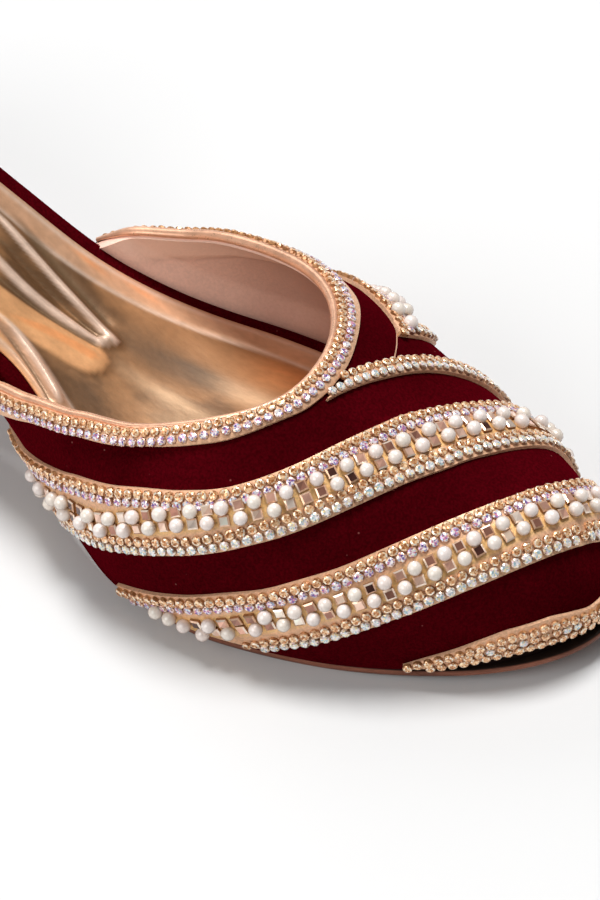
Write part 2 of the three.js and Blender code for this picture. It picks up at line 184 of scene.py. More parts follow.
# Tapes across the vamp: degrees from the inner feather edge, rear and front edge
WRAP = table(
    "angle rear front",
    (84, 178.15, 178.5),
    (88, 178.75, 179.7),
    (92, 179.1, 181.2),
    (97, 179.3, 182.9),
    (103, 180.9, 184.9),
    (109, 182.6, 186.7),
    (116, 185.0, 188.8),
    (124, 187.4, 191.4),
    (132, 189.6, 193.9),
    (146, 193.0, 197.8),
    (162, 195.8, 201.0),
    (177, 198.4, 203.8),
)
FRONT = table(
    "angle rear front",
    (1.5, 114.0, 133.4),
    (10, 123.4, 143.4),
    (20, 133.6, 158.7),
    (30, 144.1, 171.5),
    (35.5, 151.8, 176.7),
    (41, 160.7, 181.2),
    (50, 171.0, 186.8),
    (62, 178.7, 192.5),
    (76, 184.5, 198.1),
    (90, 189.4, 203.6),
    (104, 194.4, 208.2),
    (120, 199.0, 211.9),
    (138, 202.6, 214.6),
    (158, 206.0, 217.0),
    (177, 209.2, 218.8),
)
BALL = table(
    "angle rear front",
    (1.5, 148.2, 181.4),
    (8, 159.6, 190.7),
    (16, 171.6, 198.4),
    (22, 179.8, 202.9),
    (28, 185.1, 207.3),
    (38, 192.4, 213.4),
    (50, 198.8, 219.6),
    (64, 205.5, 224.5),
    (80, 212.0, 227.8),
    (96, 217.2, 229.8),
    (116, 220.9, 230.9),
    (140, 222.4, 230.9),
    (160, 222.8, 229.8),
    (177, 223.0, 229.0),
)
SIDE = table(
    "angle rear front",
    (123, 179.6, 180.1),
    (125.5, 178.6, 180.7),
    (129, 176.1, 181.5),
    (134, 171.2, 182.2),
    (140, 165.2, 182.8),
    (150, 156.2, 182.0),
    (164, 144.0, 169.8),
    (178, 132.0, 155.0),
)

# Toe tape: way round from the toe's tip, height of its lower and upper edge
TOE = table(
    "round low high",
    (0.0, 1.0, 5.6),
    (0.15, 1.1, 6.0),
    (0.3, 1.6, 7.8),
    (0.44, 2.2, 9.0),
    (0.61, 2.4, 8.8),
    (0.73, 2.0, 7.5),
    (0.84, 1.4, 5.4),
    (0.94, 0.9, 3.2),
    (1.0, 0.8, 1.5),
)


def fold(line, half, height, tone, power=2):
    """One crease: start, middle and end in plan, half width, height, tone, and how steep its sides are."""
    return {"line": line, "half": half, "height": height, "tone": tone, "power": power}


# Creases of the sock at the waist; their pale tone is a painted highlight on a ridge, their dark tone
# painted shade in a groove and the red-orange tone a painted reflection
SOCK_CREASES = (
    fold(((84, 16.6), (105, 12.8), (122.2, 9.3)), 1.15, 1.2, "pale"),
    fold(((84, 10.6), (106.6, 6.0), (121.0, 8.0)), 1.35, 1.0, "pale"),
    fold(((86, 13.4), (106, 9.5), (118.8, 8.3)), 1.0, -0.8, "dark"),
    fold(((88, 19.4), (107, 15.2), (119, 12.2)), 1.2, -0.4, "dark"),
    fold(((86, -2.2), (108, 0.2), (123.2, 3.2)), 3.8, 0.8, "peach", 5),
    fold(((98, -5.0), (108, 0.2), (121.0, 3.4)), 1.2, 0.1, "warm_reflection"),
    fold(((88, 5.0), (106, 4.2), (119.6, 6.3)), 0.6, -0.4, "dark"),
    fold(((98, -2.6), (110.6, -5.0), (120.4, -10.2)), 1.2, 1.1, "pale"),
    fold(((96, -3.4), (108.5, -6.4), (118.6, -11.6)), 0.6, -0.5, "dark"),
    fold(((92, -5.2), (107.9, -8.6), (119, -13.2)), 1.9, 0.3, "peach", 4),
)

# Broad painted reflections on the sock, dark, bright and red-orange: centre, reach in plan and strength
SOCK_TONES = (
    {"tone": "dusk", "at": (131.0, 12.5), "reach": (12.0, 4.0), "share": 1.0},
    {"tone": "dusk", "at": (142.0, 14.4), "reach": (8.0, 2.4), "share": 0.8},
    {"tone": "dusk", "at": (136.0, 27.0), "reach": (14.0, 1.8), "share": 0.4},
    {"tone": "dusk", "at": (123.0, -4.0), "reach": (9.0, 3.0), "share": 0.35},
    {"tone": "sheen", "at": (136.0, 5.4), "reach": (10.0, 1.8), "share": 1.0},
    {"tone": "sheen", "at": (148.0, 1.0), "reach": (12.0, 3.6), "share": 1.0},
    {"tone": "sheen", "at": (150.0, 14.5), "reach": (8.0, 2.4), "share": 1.0},
    {"tone": "warm_reflection", "at": (154.0, 23.0), "reach": (9.0, 4.5), "share": 1.0},
    {"tone": "warm_reflection", "at": (109.0, 21.6), "reach": (4.0, 0.9), "share": 0.8},
    {"tone": "warm_reflection", "at": (119.0, 23.8), "reach": (5.0, 1.0), "share": 0.7},
)

# Edge of the outer panel, from the side tape's tip up to the wrap tape
PANEL_EDGE = table("angle x", (110.5, 183.2), (117, 181.6), (124.5, 179.2))


def curve(rows, name):
    """Smooth curve through one column of a table that stays between its rows."""
    at = rows[next(iter(rows))]
    values = rows[name]
    rate = np.diff(values) / np.diff(at)
    product = rate[:-1] * rate[1:]
    total = np.where(product > 0, rate[:-1] + rate[1:], 1.0)
    inner = np.where(product > 0, 2 * product / total, 0.0)
    slopes = np.concatenate([rate[:1], inner, rate[-1:]])

    def value(x):
        x = np.asarray(x, float)
        i = np.clip(np.searchsorted(at, x) - 1, 0, len(at) - 2)
        span = at[i + 1] - at[i]
        t = np.clip((x - at[i]) / span, 0, 1)
        start = (1 + 2 * t) * (1 - t) ** 2 * values[i] + t * (1 - t) ** 2 * span * slopes[i]
        end = t * t * (3 - 2 * t) * values[i + 1] + t * t * (t - 1) * span * slopes[i + 1]
        return start + end

    return value


centre = curve(LAST, "centre")
full_half = curve(LAST, "half")
rise = curve(LAST, "rise")
board_inset = curve(LAST, "board")
sole_inset = curve(LAST, "sole")
crest = curve(INSTEP, "crest")
inner_flare = curve(INSTEP, "inner")
outer_flare = curve(INSTEP, "outer")
topline_wall = curve(TOPLINE, "inner_wall"), curve(TOPLINE, "outer_wall")
topline_tape = curve(TOPLINE, "inner_tape"), curve(TOPLINE, "outer_tape")
wrap_rear = curve(WRAP, "rear")
toe_low = curve(TOE, "low")
toe_high = curve(TOE, "high")


def smoothstep(x, low, high):
    """Soft step from 0 at low to 1 at high."""
    t = np.clip((np.asarray(x, float) - low) / (high - low), 0, 1)
    return t * t * (3 - 2 * t)


def unit(v):
    """Vectors scaled to length one along their last axis."""
    return v / np.maximum(np.linalg.norm(v, axis=-1, keepdims=True), 1e-12)


def rounding(x, toe, heel_end=0.0, shape=LAST_TOE):
    """Share of the full width left near the rounded back and toe of a piece."""
    back = np.clip((heel_end + HEEL_ROUND - x) / HEEL_ROUND, 0, 1)
    front = np.clip((x - TOE_START) / (toe - TOE_START), 0, 1)
    heel = (1 - back**HEEL_POWER) ** (1 / HEEL_POWER)
    return heel * (1 - front ** shape["lengthwise"]) ** (1 / shape["crosswise"])


def half_width(x, inset, toe, heel_end=0.0, shape=LAST_TOE):
    """Half width of a flat piece that keeps an inset from the last's outline."""
    return np.maximum((full_half(x) - inset) * rounding(x, toe, heel_end, shape), 0)


def crown_height(x, inside):
    """Height of the vamp's crown over the sole for a face this far inside the outer one."""
    length = UPPER_LENGTH - inside
    front = np.clip((x - TOE_DROP_START) / (length - TOE_DROP_START), 0, 1)
    return (crest(x) - inside) * (1 - front**TOE_DROP_POWER) ** (1 / TOE_DROP_POWER)


def section(x, angle, inside):
    """Points of the upper, angle 0 at the inner feather edge and 180 at the outer one."""
    x, angle = np.broadcast_arrays(np.asarray(x, float), np.asarray(angle, float))
    turn = np.radians(np.clip(angle, 0, 180))
    up = np.maximum(np.sin(turn), 0)
    out = np.cos(turn)
    near = rounding(x, UPPER_LENGTH - inside)
    width = (full_half(x) - SOLE_LEDGE - inside) * near
    bulge = 1 + SIDE_BULGE * np.sin(2 * turn) ** 2
    rollout = 1 - (1 - np.minimum(4 * up, 1)) ** 2
    flare = np.where(out > 0, inner_flare(x), outer_flare(x)) * out * rollout * near
    side = np.sign(out) * np.abs(out) ** SECTION_Y_POWER * width * bulge
    y = centre(x) - side - flare + CROWN_LEAN * up * up * near
    z = rise(x) + BOARD_LOW + crown_height(x, inside) * up**SECTION_Z_POWER
    return np.stack([x, y, z], -1)


def height_over_sole(x, angle):
    """Height of the upper's outer face over its feather edge."""
    return crown_height(x, 0) * np.sin(np.radians(angle)) ** SECTION_Z_POWER


def face_slopes(x, angle, turn):
    """How a spot of the upper's outer face moves with its station and with its angle."""
    by_x = (section(x + NUDGE, angle, 0) - section(x - NUDGE, angle, 0)) / (2 * NUDGE)
    by_angle = (section(x, angle + turn, 0) - section(x, angle - turn, 0)) / (2 * turn)
    return by_x, by_angle


def outward(x, angle):
    """Outward direction of the upper's outer face."""
    inside = np.clip(angle, 0.6, 179.4)
    return unit(np.cross(*face_slopes(x, inside, WIDE_TURN)))


def down(angle):
    """How far down from the crown, 90 at the end of each side's sweep."""
    angle = np.asarray(angle, float)
    sweep = np.where(angle < CROWN_ANGLE, INNER_SWEEP, OUTER_SWEEP)
    return np.abs(angle - CROWN_ANGLE) / sweep * 90


def topline_at(edge, angle):
    """Station of a topline edge at an angle, eased where its inner and outer curves meet."""
    inner, outer = edge

    def plain(a):
        return np.where(a < CROWN_ANGLE, inner(down(a)), outer(down(a)))

    eased = sum(plain(angle + turn) for turn in EASE_TURNS) / len(EASE_TURNS)
    near = np.exp(-(((angle - CROWN_ANGLE) / EASE_REACH) ** 2))
    return plain(angle) + near * (eased - plain(angle))


def under_panel(x, angle):
    """Share of the step where the outer panel lies under the wrapped one."""
    behind = smoothstep(wrap_rear(angle) + PANEL_STEP_RUN - x, 0, PANEL_STEP_RUN)
    return behind * smoothstep(angle, CROWN_ANGLE, CROWN_ANGLE + PANEL_STEP_TURN)


def skin(x, angle, lift):
    """Outer face of the upper, or a face standing off it."""
    stand = lift - PANEL_STEP * under_panel(x, angle)
    return section(x, angle, 0) + outward(x, angle) * np.asarray(stand)[..., None]


def beside(x, angle, aside):
    """Spots of a line on the upper moved sideways along the surface, towards the toe if positive."""
    steps = max(math.ceil(abs(aside) / SIDE_STEP), 1)
    for _ in range(steps):
        line = section(x, angle, 0)
        across = np.cross(unit(np.gradient(line, axis=0)), outward(x, angle))
        by_x, by_angle = face_slopes(x, angle, FINE_TURN)
        xx, aa = np.sum(by_x * by_x, 1), np.sum(by_angle * by_angle, 1)
        xa = np.sum(by_x * by_angle, 1)
        cx, ca = np.sum(across * by_x, 1), np.sum(across * by_angle, 1)
        spare = xx * aa - xa * xa
        x = x + aside / steps * (cx * aa - ca * xa) / spare
        angle = np.clip(angle + aside / steps * (ca * xx - cx * xa) / spare, FEATHER, 180 - FEATHER)
    return x, angle


def beside_topline(angle, aside):
    """Station of a line that runs beside the cut topline, towards the toe if positive."""
    around = np.linspace(1, 179, 713)
    x, there = beside(topline_at(topline_wall, around), around, aside)
    order = np.argsort(there)
    return np.interp(angle, there[order], x[order])


def spread(count, start, end):
    """Stations from start to end, closer together at both ends."""
    share = np.linspace(0, 1, count)
    return start + (end - start) * 0.5 * (1 - np.cos(np.pi * share))


def plan_shift():
    """Move from the last's own plan to the frame, in millimetres."""
    low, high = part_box("insole_board")
    x = np.linspace(0, BOARD_TOE, 4000)
    half = half_width(x, board_inset(x), BOARD_TOE)
    middle = (np.min(centre(x) - half) + np.max(centre(x) + half)) / 2
    return np.array([low.x / MM, (low.y + high.y) / 2 / MM - middle, 0.0])


SHIFT = plan_shift()


def in_frame(points):
    """Points of the last's plan in the frame, in metres."""
    return (np.asarray(points, float) + SHIFT) * MM


# Meshes


def grid_faces(rows, columns, start=0):
    """Quads of a grid of points, row by row."""
    a = start + np.arange(rows - 1)[:, None] * columns + np.arange(columns - 1)[None, :]
    quads = np.stack([a, a + columns, a + columns + 1, a + 1], -1)
    return quads.reshape(-1, 4).tolist()


def ring_faces(rings, count):
    """Quads between closed rings of points, ring by ring."""
    faces = []
    for k in range(rings - 1):
        for i in range(count):
            j = (i + 1) % count
            faces.append([k * count + i, k * count + j, (k + 1) * count + j, (k + 1) * count + i])
    return faces


def shell(top, bottom):
    """Points and quads of a closed shell between two faces that share one grid."""
    rows, columns = top.shape[:2]
    points = np.concatenate([top.reshape(-1, 3), bottom.reshape(-1, 3)])
    floor = rows * columns
    faces = grid_faces(rows, columns)
    faces += [quad[::-1] for quad in grid_faces(rows, columns, floor)]
    ring = list(range(columns))
    ring += [i * columns + columns - 1 for i in range(1, rows)]
    ring += [(rows - 1) * columns + j for j in range(columns - 2, -1, -1)]
    ring += [i * columns for i in range(rows - 2, 0, -1)]
    for a, b in zip(ring, ring[1:] + ring[:1]):
        faces.append([a, b, floor + b, floor + a])
    return points, faces


def tube(path, sides_a, sides_b, radius, steps):
    """Points and faces of a closed round tube on a path with two side directions."""
    turn = np.linspace(0, 2 * np.pi, steps, endpoint=False)
    ring = np.cos(turn)[None, :, None] * sides_a[:, None] + np.sin(turn)[None, :, None] * sides_b[:, None]
    points = path[:, None] + ring * np.asarray(radius).reshape(-1, 1, 1)
    rows = len(path)
    faces = ring_faces(rows, steps)
    faces.append(list(range(steps))[::-1])
    faces.append([(rows - 1) * steps + j for j in range(steps)])
    return points.reshape(-1, 3), faces


def make_piece(name, points, faces, finish, replaced=(), masks=None, tints=None, smooth_to=50):
    """Builds one closed piece of the shoe, dresses it and sets it on the frame."""
    mesh = bpy.data.meshes.new(name)
    mesh.from_pydata(in_frame(points).tolist(), [], faces)
    for mask, values in (masks or {}).items():
        layer = mesh.attributes.new(mask, "FLOAT", "POINT")
        layer.data.foreach_set("value", np.asarray(values, np.float32).ravel())
    if tints is not None:
        layer = mesh.attributes.new("tint", "FLOAT_COLOR", "FACE")
        layer.data.foreach_set("color", np.asarray(tints, np.float32).ravel())
    body = bmesh.new()
    body.from_mesh(mesh)
    bmesh.ops.remove_doubles(body, verts=body.verts, dist=1e-7)
    bmesh.ops.dissolve_degenerate(body, edges=body.edges, dist=1e-8)
    bmesh.ops.recalc_face_normals(body, faces=body.faces)
    for face in body.faces:
        face.smooth = smooth_to > 0
    body.to_mesh(mesh)
    body.free()
    if smooth_to > 0:
        mesh.set_sharp_from_angle(angle=math.radians(smooth_to))
    mesh.materials.append(finish)
    piece = bpy.data.objects.new(name, mesh)
    bpy.context.scene.collection.objects.link(piece)
    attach(piece, "root")
    if replaced:
        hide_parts(*replaced)


def outline(stations, inset, toe, heel_end, shape):
    """Closed plan outline up the inner side and back down the outer one, with its outward normals."""
    half = half_width(stations, inset(stations), toe, heel_end, shape)
    inner = np.stack([stations, centre(stations) - half], -1)
    outer = np.stack([stations, centre(stations) + half], -1)[::-1]
    loop = np.concatenate([inner, outer])
    # The points before and after each one give its direction, also where both sides meet in one point
    ahead = np.roll(loop, -1, 0) - np.roll(loop, 1, 0)
    normal = unit(np.stack([ahead[:, 1], -ahead[:, 0]], -1))
    return loop, normal


def slab(stations, inset, toe, heel_end, profile, across, relief=None, shape=LAST_TOE):
    """Points and faces of a layer of the sole with a shaped edge.

    The profile lists (inset, height) from the top face's border to the bottom face's border.
    """
    loop, normal = outline(stations, inset, toe, heel_end, shape)
    half = half_width(stations, inset(stations), toe, heel_end, shape)
    most = STEP_LIMIT * np.concatenate([half, half[::-1]])
    ground = rise(loop[:, 0])
    points = []
    for step_in, height in profile:
        spot = loop - normal * np.minimum(step_in, most)[:, None]
        points.append(np.column_stack([spot, ground + height]))
    n, count = len(stations), len(loop)
    faces = ring_faces(len(profile), count)
    total = len(profile) * count
    columns = across - 1
    share = np.linspace(0, 1, across + 1)[1:-1]
    for base in (0, (len(profile) - 1) * count):
        rim = points[base // count]
        a, b = rim[:n], rim[n:][::-1]
        rows = a[:, None] + (b - a)[:, None] * share[None, :, None]
        if relief is not None and base == 0:
            rows[..., 2] += relief(rows[..., 0], rows[..., 1])
        points.append(rows.reshape(-1, 3))
        ids = np.empty((n, across + 1), int)
        ids[:, 0] = base + np.arange(n)
        ids[:, -1] = base + 2 * n - 1 - np.arange(n)
        ids[:, 1:-1] = total + np.arange(n * columns).reshape(n, columns)
        total += n * columns
        for i in range(n - 1):
            for j in range(across):
                faces.append([ids[i, j], ids[i + 1, j], ids[i + 1, j + 1], ids[i, j + 1]])
    return np.concatenate(points), [list(map(int, face)) for face in faces]


# Tapes


def cross_spot(rows):
    """Place on the upper for a share along a tape and a share from its rear to its front edge."""
    rear, front = curve(rows, "rear"), curve(rows, "front")
    first, last = rows["angle"][0], rows["angle"][-1]

    def spot(along, across):
        angle = first + (last - first) * np.asarray(along, float)
        return rear(angle) + (front(angle) - rear(angle)) * across, angle

    return spot


def topline_spot(along, across):
    """Place on the tape that borders the topline."""
    angle = BINDING_FROM + (BINDING_TO - BINDING_FROM) * np.asarray(along, float)
    start = beside_topline(angle, -EDGE_MEET)
    return start + (topline_at(topline_tape, angle) - start) * across, angle


def tip_station(height):
    """Station in the toe where the crown comes down to a height."""
    near = np.full_like(height, TOE_DROP_START)
    far = np.full_like(height, UPPER_LENGTH)
    for _ in range(40):
        middle = (near + far) / 2
        above = crown_height(middle, 0) > height
        near = np.where(above, middle, near)
        far = np.where(above, far, middle)
    return near


def toe_spot(along, across):
    """Place on the tape round the toe, from its upper to its lower edge."""
    along, across = np.broadcast_arrays(np.asarray(along, float), np.asarray(across, float))
    way = (1 + TOE_TAPE_PAST_TIP) * along - 1
    far_round = np.abs(way)
    height = toe_high(far_round) + (toe_low(far_round) - toe_high(far_round)) * across
    tip = tip_station(height)
    x = tip - (tip - TOE_TAPE_START) * far_round**2
    up = np.minimum((height / crown_height(x, 0)) ** (1 / SECTION_Z_POWER), 1)
    angle = np.degrees(np.arcsin(up))
    return x, np.where(way < 0, angle, 180 - angle)


def tape_thick(across):
    """Thickness of a tape across its width."""
    return TAPE_EDGE + (TAPE_CROWN - TAPE_EDGE) * (1 - (2 * across - 1) ** 4)


# Rows of stones on each kind of tape: guide line as a share from the rear edge, distance of the row
# from it towards the front in millimetres, kind of stone
WIDE_ROWS = (
    (0.0, 1.15, "gold"),
    (0.0, 2.75, "dusk"),
    (0.5, -1.55, "pearl"),
    (0.5, 0.85, "square"),
    (1.0, -3.0, "gold"),
    (1.0, -1.25, "aurora"),
)
SLIM_ROWS = ((0.0, 0.8, "gold"), (0.0, 2.55, "dusk"))
WRAP_ROWS = ((1.0, -2.75, "gold"), (1.0, -0.95, "aurora"))
TOE_ROWS = ((0.22, 0.0, "gold"), (0.5, 0.0, "mixed"), (0.78, 0.0, "gold"))

# Name, place on the upper, rows, steps along it, size of its round stones against the others, least
# room of a stone inside its edges
TAPES = (
    ("topline", topline_spot, SLIM_ROWS, 420, 0.93, 0.1),
    ("wrap", cross_spot(WRAP), WRAP_ROWS, 160, 0.93, -1.0),
    ("front", cross_spot(FRONT), WIDE_ROWS, 260, 1.0, 0.1),
    ("ball", cross_spot(BALL), WIDE_ROWS, 260, 1.0, 0.1),
    ("side", cross_spot(SIDE), WIDE_ROWS, 140, 1.0, 0.1),
    ("toe", toe_spot, TOE_ROWS, 240, 0.95, 0.1),
)

# Setting of the stones: spots along a guide line, least distance of two stones as a share of their radii,
# least room of pearls and squares inside the tape's edges, and the tapes' top over the upper
LINE_STEPS = 900
CLOSEST = 0.74
CHECKER_ROOM = 1.0
TAPE_TOP = GAP + TAPE_CROWN

# Ends of the rows: spots that give their slope, degrees between added spots, seats added past each end,
# shares of a pitch kept clear there, and where the pearls run along the cut end of the ball tape
SLOPE_SPOTS = 6
ROW_STEP = 0.25
EXTRA_SEATS = 4
END_ROOM = 0.4
END_MARGIN = 0.3
END_ALONG = 0.012
END_PEARLS = (0.22, 0.5)

# Start of the rows by turns, as shares of a pitch
ROW_LATE = (0.5, 0.95)

# How stones differ: chance of a swapped pearl and of a clear stone in a mixed row, spread of the tilt and
# turn in radians, of the place in millimetres and of the size
SWAPPED = 0.02
MIXED_CLEAR = 0.3
TILT = 0.045
SPIN = 0.06
SLIP = 0.05
SIZE_SPREAD = 0.02

# Height of a stone's middle over the tape, as a share of its radius
CHECKER_SEAT = {"pearl": 0.62, "square": 0.30}
ROUND_SEAT = 0.18


def room_inside(points, spot):
    """Distance of points to the nearer edge of a tape, below zero outside it."""
    share = np.linspace(0, 1, LINE_STEPS)
    edges = [skin(*spot(share, np.full_like(share, side)), TAPE_TOP) for side in (0.0, 1.0)]
    rooms = []
    for edge, other in (edges, edges[::-1]):
        gap = np.linalg.norm(points[:, None] - edge[None], axis=2)
        near = gap.argmin(1)
        inward = np.sum((points - edge[near]) * (other - edge)[near], 1)
        rooms.append(gap.min(1) * np.sign(inward))
    return np.minimum(*rooms)


def run_out(x, angle, first, last):
    """A row lengthened straight on to two given angles."""
    on = (angle > FEATHER) & (angle < 180 - FEATHER)
    x, angle = x[on], angle[on]
    before = np.arange(max(first, FEATHER), angle[0], ROW_STEP)
    after = np.arange(angle[-1] + ROW_STEP, min(last, 180 - FEATHER), ROW_STEP)
    far, back = SLOPE_SPOTS, -1 - SLOPE_SPOTS
    lead = (x[far] - x[0]) / (angle[far] - angle[0])
    trail = (x[-1] - x[back]) / (angle[-1] - angle[back])
    x = np.concatenate([x[0] + (before - angle[0]) * lead, x, x[-1] + (after - angle[-1]) * trail])
    return x, np.concatenate([before, angle, after])


def longer(values):
    """Values carried straight on past both ends by a few seats."""
    steps = np.arange(1, EXTRA_SEATS + 1)
    before = values[0] - steps[::-1] * (values[2] - values[0]) / 2
    after = values[-1] + steps * (values[-1] - values[-3]) / 2
    return np.concatenate([before, values, after])


def way_along(x, angle):
    """Distance along a line on the upper at each of its spots."""
    steps = np.linalg.norm(np.diff(section(x, angle, 0), axis=0), axis=1)
    return np.concatenate([[0], np.cumsum(steps)])


def seats(spot, guide, aside, pitch, late, in_step):
    """Evenly spaced seats along one row of a tape: points, directions and room to its edges."""
    share = np.linspace(0, 1, LINE_STEPS)
    x, angle = spot(share, np.full_like(share, guide))
    first, last = angle[0], angle[-1]
    if aside and not in_step:
        x, angle = run_out(*beside(x, angle, aside), first, last)
    length = way_along(x, angle)
    count = max(int(length[-1] / pitch), 2)
    stops = (np.arange(count) + late) * length[-1] / count
    stops = stops[stops < length[-1] - END_ROOM * pitch]
    x, angle = np.interp(stops, length, x), np.interp(stops, length, angle)
    past = np.zeros(len(stops), bool)
    if in_step:
        x, angle = beside(x, angle, aside)
        x, angle = longer(x), longer(angle)
        margin = END_MARGIN * (last - first) / count
        past = (angle < first + margin) | (angle > last - margin)
        angle = np.clip(angle, FEATHER, 180 - FEATHER)
    points = skin(x, angle, TAPE_TOP)
    along = unit(np.gradient(points, axis=0))
    return points, along, outward(x, angle), np.where(past, -1.0, room_inside(points, spot))


def end_seats(spot, pitch):
    """Seats of pearls along the cut end of a tape at the inner feather edge."""
    across = np.linspace(*END_PEARLS, LINE_STEPS)
    x, angle = spot(np.full_like(across, END_ALONG), across)
    length = way_along(x, angle)
    stops = np.arange(0, length[-1], pitch)
    x, angle = np.interp(stops, length, x), np.interp(stops, length, angle)
    points = skin(x, angle, TAPE_TOP)
    return points, unit(np.gradient(points, axis=0)), outward(x, angle)


def gem(sides=10):
    """Cut of one round stone of radius one: points, faces and the role of each face."""
    turn = np.arange(sides) * 2 * np.pi / sides
    half = turn + np.pi / sides
    levels = ((turn, 0.54, 0.44), (half, 0.84, 0.30), (turn, 1.0, 0.10), (turn, 0.97, -0.5))
    rings = [np.column_stack([np.cos(a) * r, np.sin(a) * r, np.full(sides, z)]) for a, r, z in levels]
    points = np.concatenate([[[0, 0, 0.38]], *rings])
    faces = []
    for i in range(sides):
        j = (i + 1) % sides
        t, t2 = 1 + i, 1 + j
        m, m0 = t + sides, 1 + sides + (i - 1) % sides
        g, g2 = t + 2 * sides, t2 + 2 * sides
        b, b2 = t + 3 * sides, t2 + 3 * sides
        faces += [[0, t, t2], [t, m, t2], [t, m0, m], [m, g, g2], [m0, g, m], [g, b, b2, g2]]
    faces.append([1 + 3 * sides + i for i in range(sides)][::-1])
    roles = ("table", "crown", "crown", "rim", "rim", "wall") * sides + ("wall",)
    return points, faces, roles


def square_stone():
    """Cut of one square mirror stone for a half side of one, its table split corner to corner."""
    corners = np.array([[-1, -1], [1, -1], [1, 1], [-1, 1]], float)
    levels = ((0.70, 0.46), (1.0, 0.26), (0.97, -0.6))
    points = np.concatenate([np.column_stack([corners * size, np.full(4, z)]) for size, z in levels])
    faces = [[0, 1, 2], [0, 2, 3]]
    for low in (0, 4):
        for i in range(4):
            j = (i + 1) % 4
            faces.append([low + i, low + 4 + i, low + 4 + j, low + j])
    faces.append([11, 10, 9, 8])
    roles = ("table",) * 2 + ("crown",) * 4 + ("wall",) * 5
    return points, faces, roles


def pearl_ball(rings=12, sides=20):
    """Pearl of radius one with a flat seat underneath: points, faces and their role."""
    lowest = math.radians(150)
    points = [[0, 0, 1]]
    for i in range(1, rings + 1):
        a = lowest * i / rings
        for j in range(sides):
            b = 2 * math.pi * j / sides
            points.append([math.sin(a) * math.cos(b), math.sin(a) * math.sin(b), math.cos(a)])
    faces = [[0, 1 + j, 1 + (j + 1) % sides] for j in range(sides)]
    for i in range(rings - 1):
        for j in range(sides):
            k = (j + 1) % sides
            a = 1 + i * sides
            faces.append([a + j, a + sides + j, a + sides + k, a + k])
    faces.append([1 + (rings - 1) * sides + j for j in range(sides)][::-1])
    return np.array(points, float), faces, ("body",) * len(faces)


def scatter(cut, places):
    """Joined copies of one cut, each place a point, an along and a normal direction and a size."""
    points, faces, _ = cut
    all_points = []
    all_faces = []
    for k, (spot, along, normal, size) in enumerate(places):
        side = np.cross(normal, along)
        all_points.append(spot + (points @ np.stack([along, side, normal])) * size)
        shift = k * len(points)
        all_faces += [[shift + v for v in face] for face in faces]
    return np.concatenate(all_points), all_faces


def turned(along, normal, spin, tilt_a, tilt_b):
    """A seat's directions spun about its normal and tilted a little."""
    side = np.cross(normal, along)
    facing = unit(normal + along * tilt_a + side * tilt_b)
    ahead = along * math.cos(spin) + side * math.sin(spin)
    ahead = unit(ahead - facing * np.dot(ahead, facing))
    return ahead, facing


def pick_kind(chance, kind, number):
    """Kind of one stone: pearls and squares take turns, and a mixed row holds two kinds."""
    if kind in CHECKER_SEAT:
        swapped = chance.random() < SWAPPED
        return "pearl" if (number + (kind == "square") + swapped) % 2 == 0 else "square"
    if kind == "mixed":
        return "aurora" if chance.random() < MIXED_CLEAR else "gold"
    return kind


def crowded(others, point, radius):
    """Whether a stone at a point would sit too close to those already set."""
    apart = np.linalg.norm(others[:, :3] - point, axis=1)
    return np.any(apart < CLOSEST * (others[:, 3] + radius))


def set_stones(stones):
    """Places of every stone on every tape, by kind, from the sizes of the stones."""
    chance = np.random.default_rng(7)
    places = {"gold": [], "aurora": [], "dusk": [], "square": [], "pearl": []}
    radii = {"pearl": stones.pearl / MM / 2, "square": stones.square / MM / 2}
    step = stones.pearl_pitch / MM
    taken = {True: np.empty((0, 4)), False: np.empty((0, 4))}
    for name, spot, rows, _, scale, least in TAPES:
        small, pitch = scale * stones.stone / MM / 2, scale * stones.stone_pitch / MM
        for n, (guide, aside, kind) in enumerate(rows):
            checker = kind in CHECKER_SEAT
            late = ROW_LATE[0 if checker else n % 2]
            row = seats(spot, guide, aside, step if checker else pitch, late, checker)
            for k, (point, along, normal, room) in enumerate(zip(*row)):
                if not room >= (CHECKER_ROOM if checker else least):
                    continue
                pick = pick_kind(chance, kind, k)
                tilt = chance.normal(0, TILT, 2)
                spin = chance.normal(0, SPIN) if checker else chance.uniform(0, math.pi)
                ahead, facing = turned(along, normal, spin, *tilt)
                radius = radii.get(pick, small)
                if crowded(taken[checker], point, radius):
                    continue
                taken[checker] = np.vstack([taken[checker], [*point, radius]])
                seat = CHECKER_SEAT.get(pick, ROUND_SEAT) * radius
                slip = chance.normal(0, SLIP, 3)
                spot_on = point + facing * seat + slip * (1 - np.abs(facing))
                places[pick].append((spot_on, ahead, facing, radius * chance.normal(1, SIZE_SPREAD)))
        if name == "ball":
            places["pearl"] += end_pearls(spot, step, radii["pearl"], taken[True])
    return places


def end_pearls(spot, pitch, radius, others):
    """Places of the pearls along a tape's cut end, where no other stone sits."""
    lift = CHECKER_SEAT["pearl"] * radius
    places = []
    for point, along, normal in zip(*end_seats(spot, pitch)):
        if not crowded(others, point, radius):
            places.append((point + normal * lift, along, normal, radius))
    return places
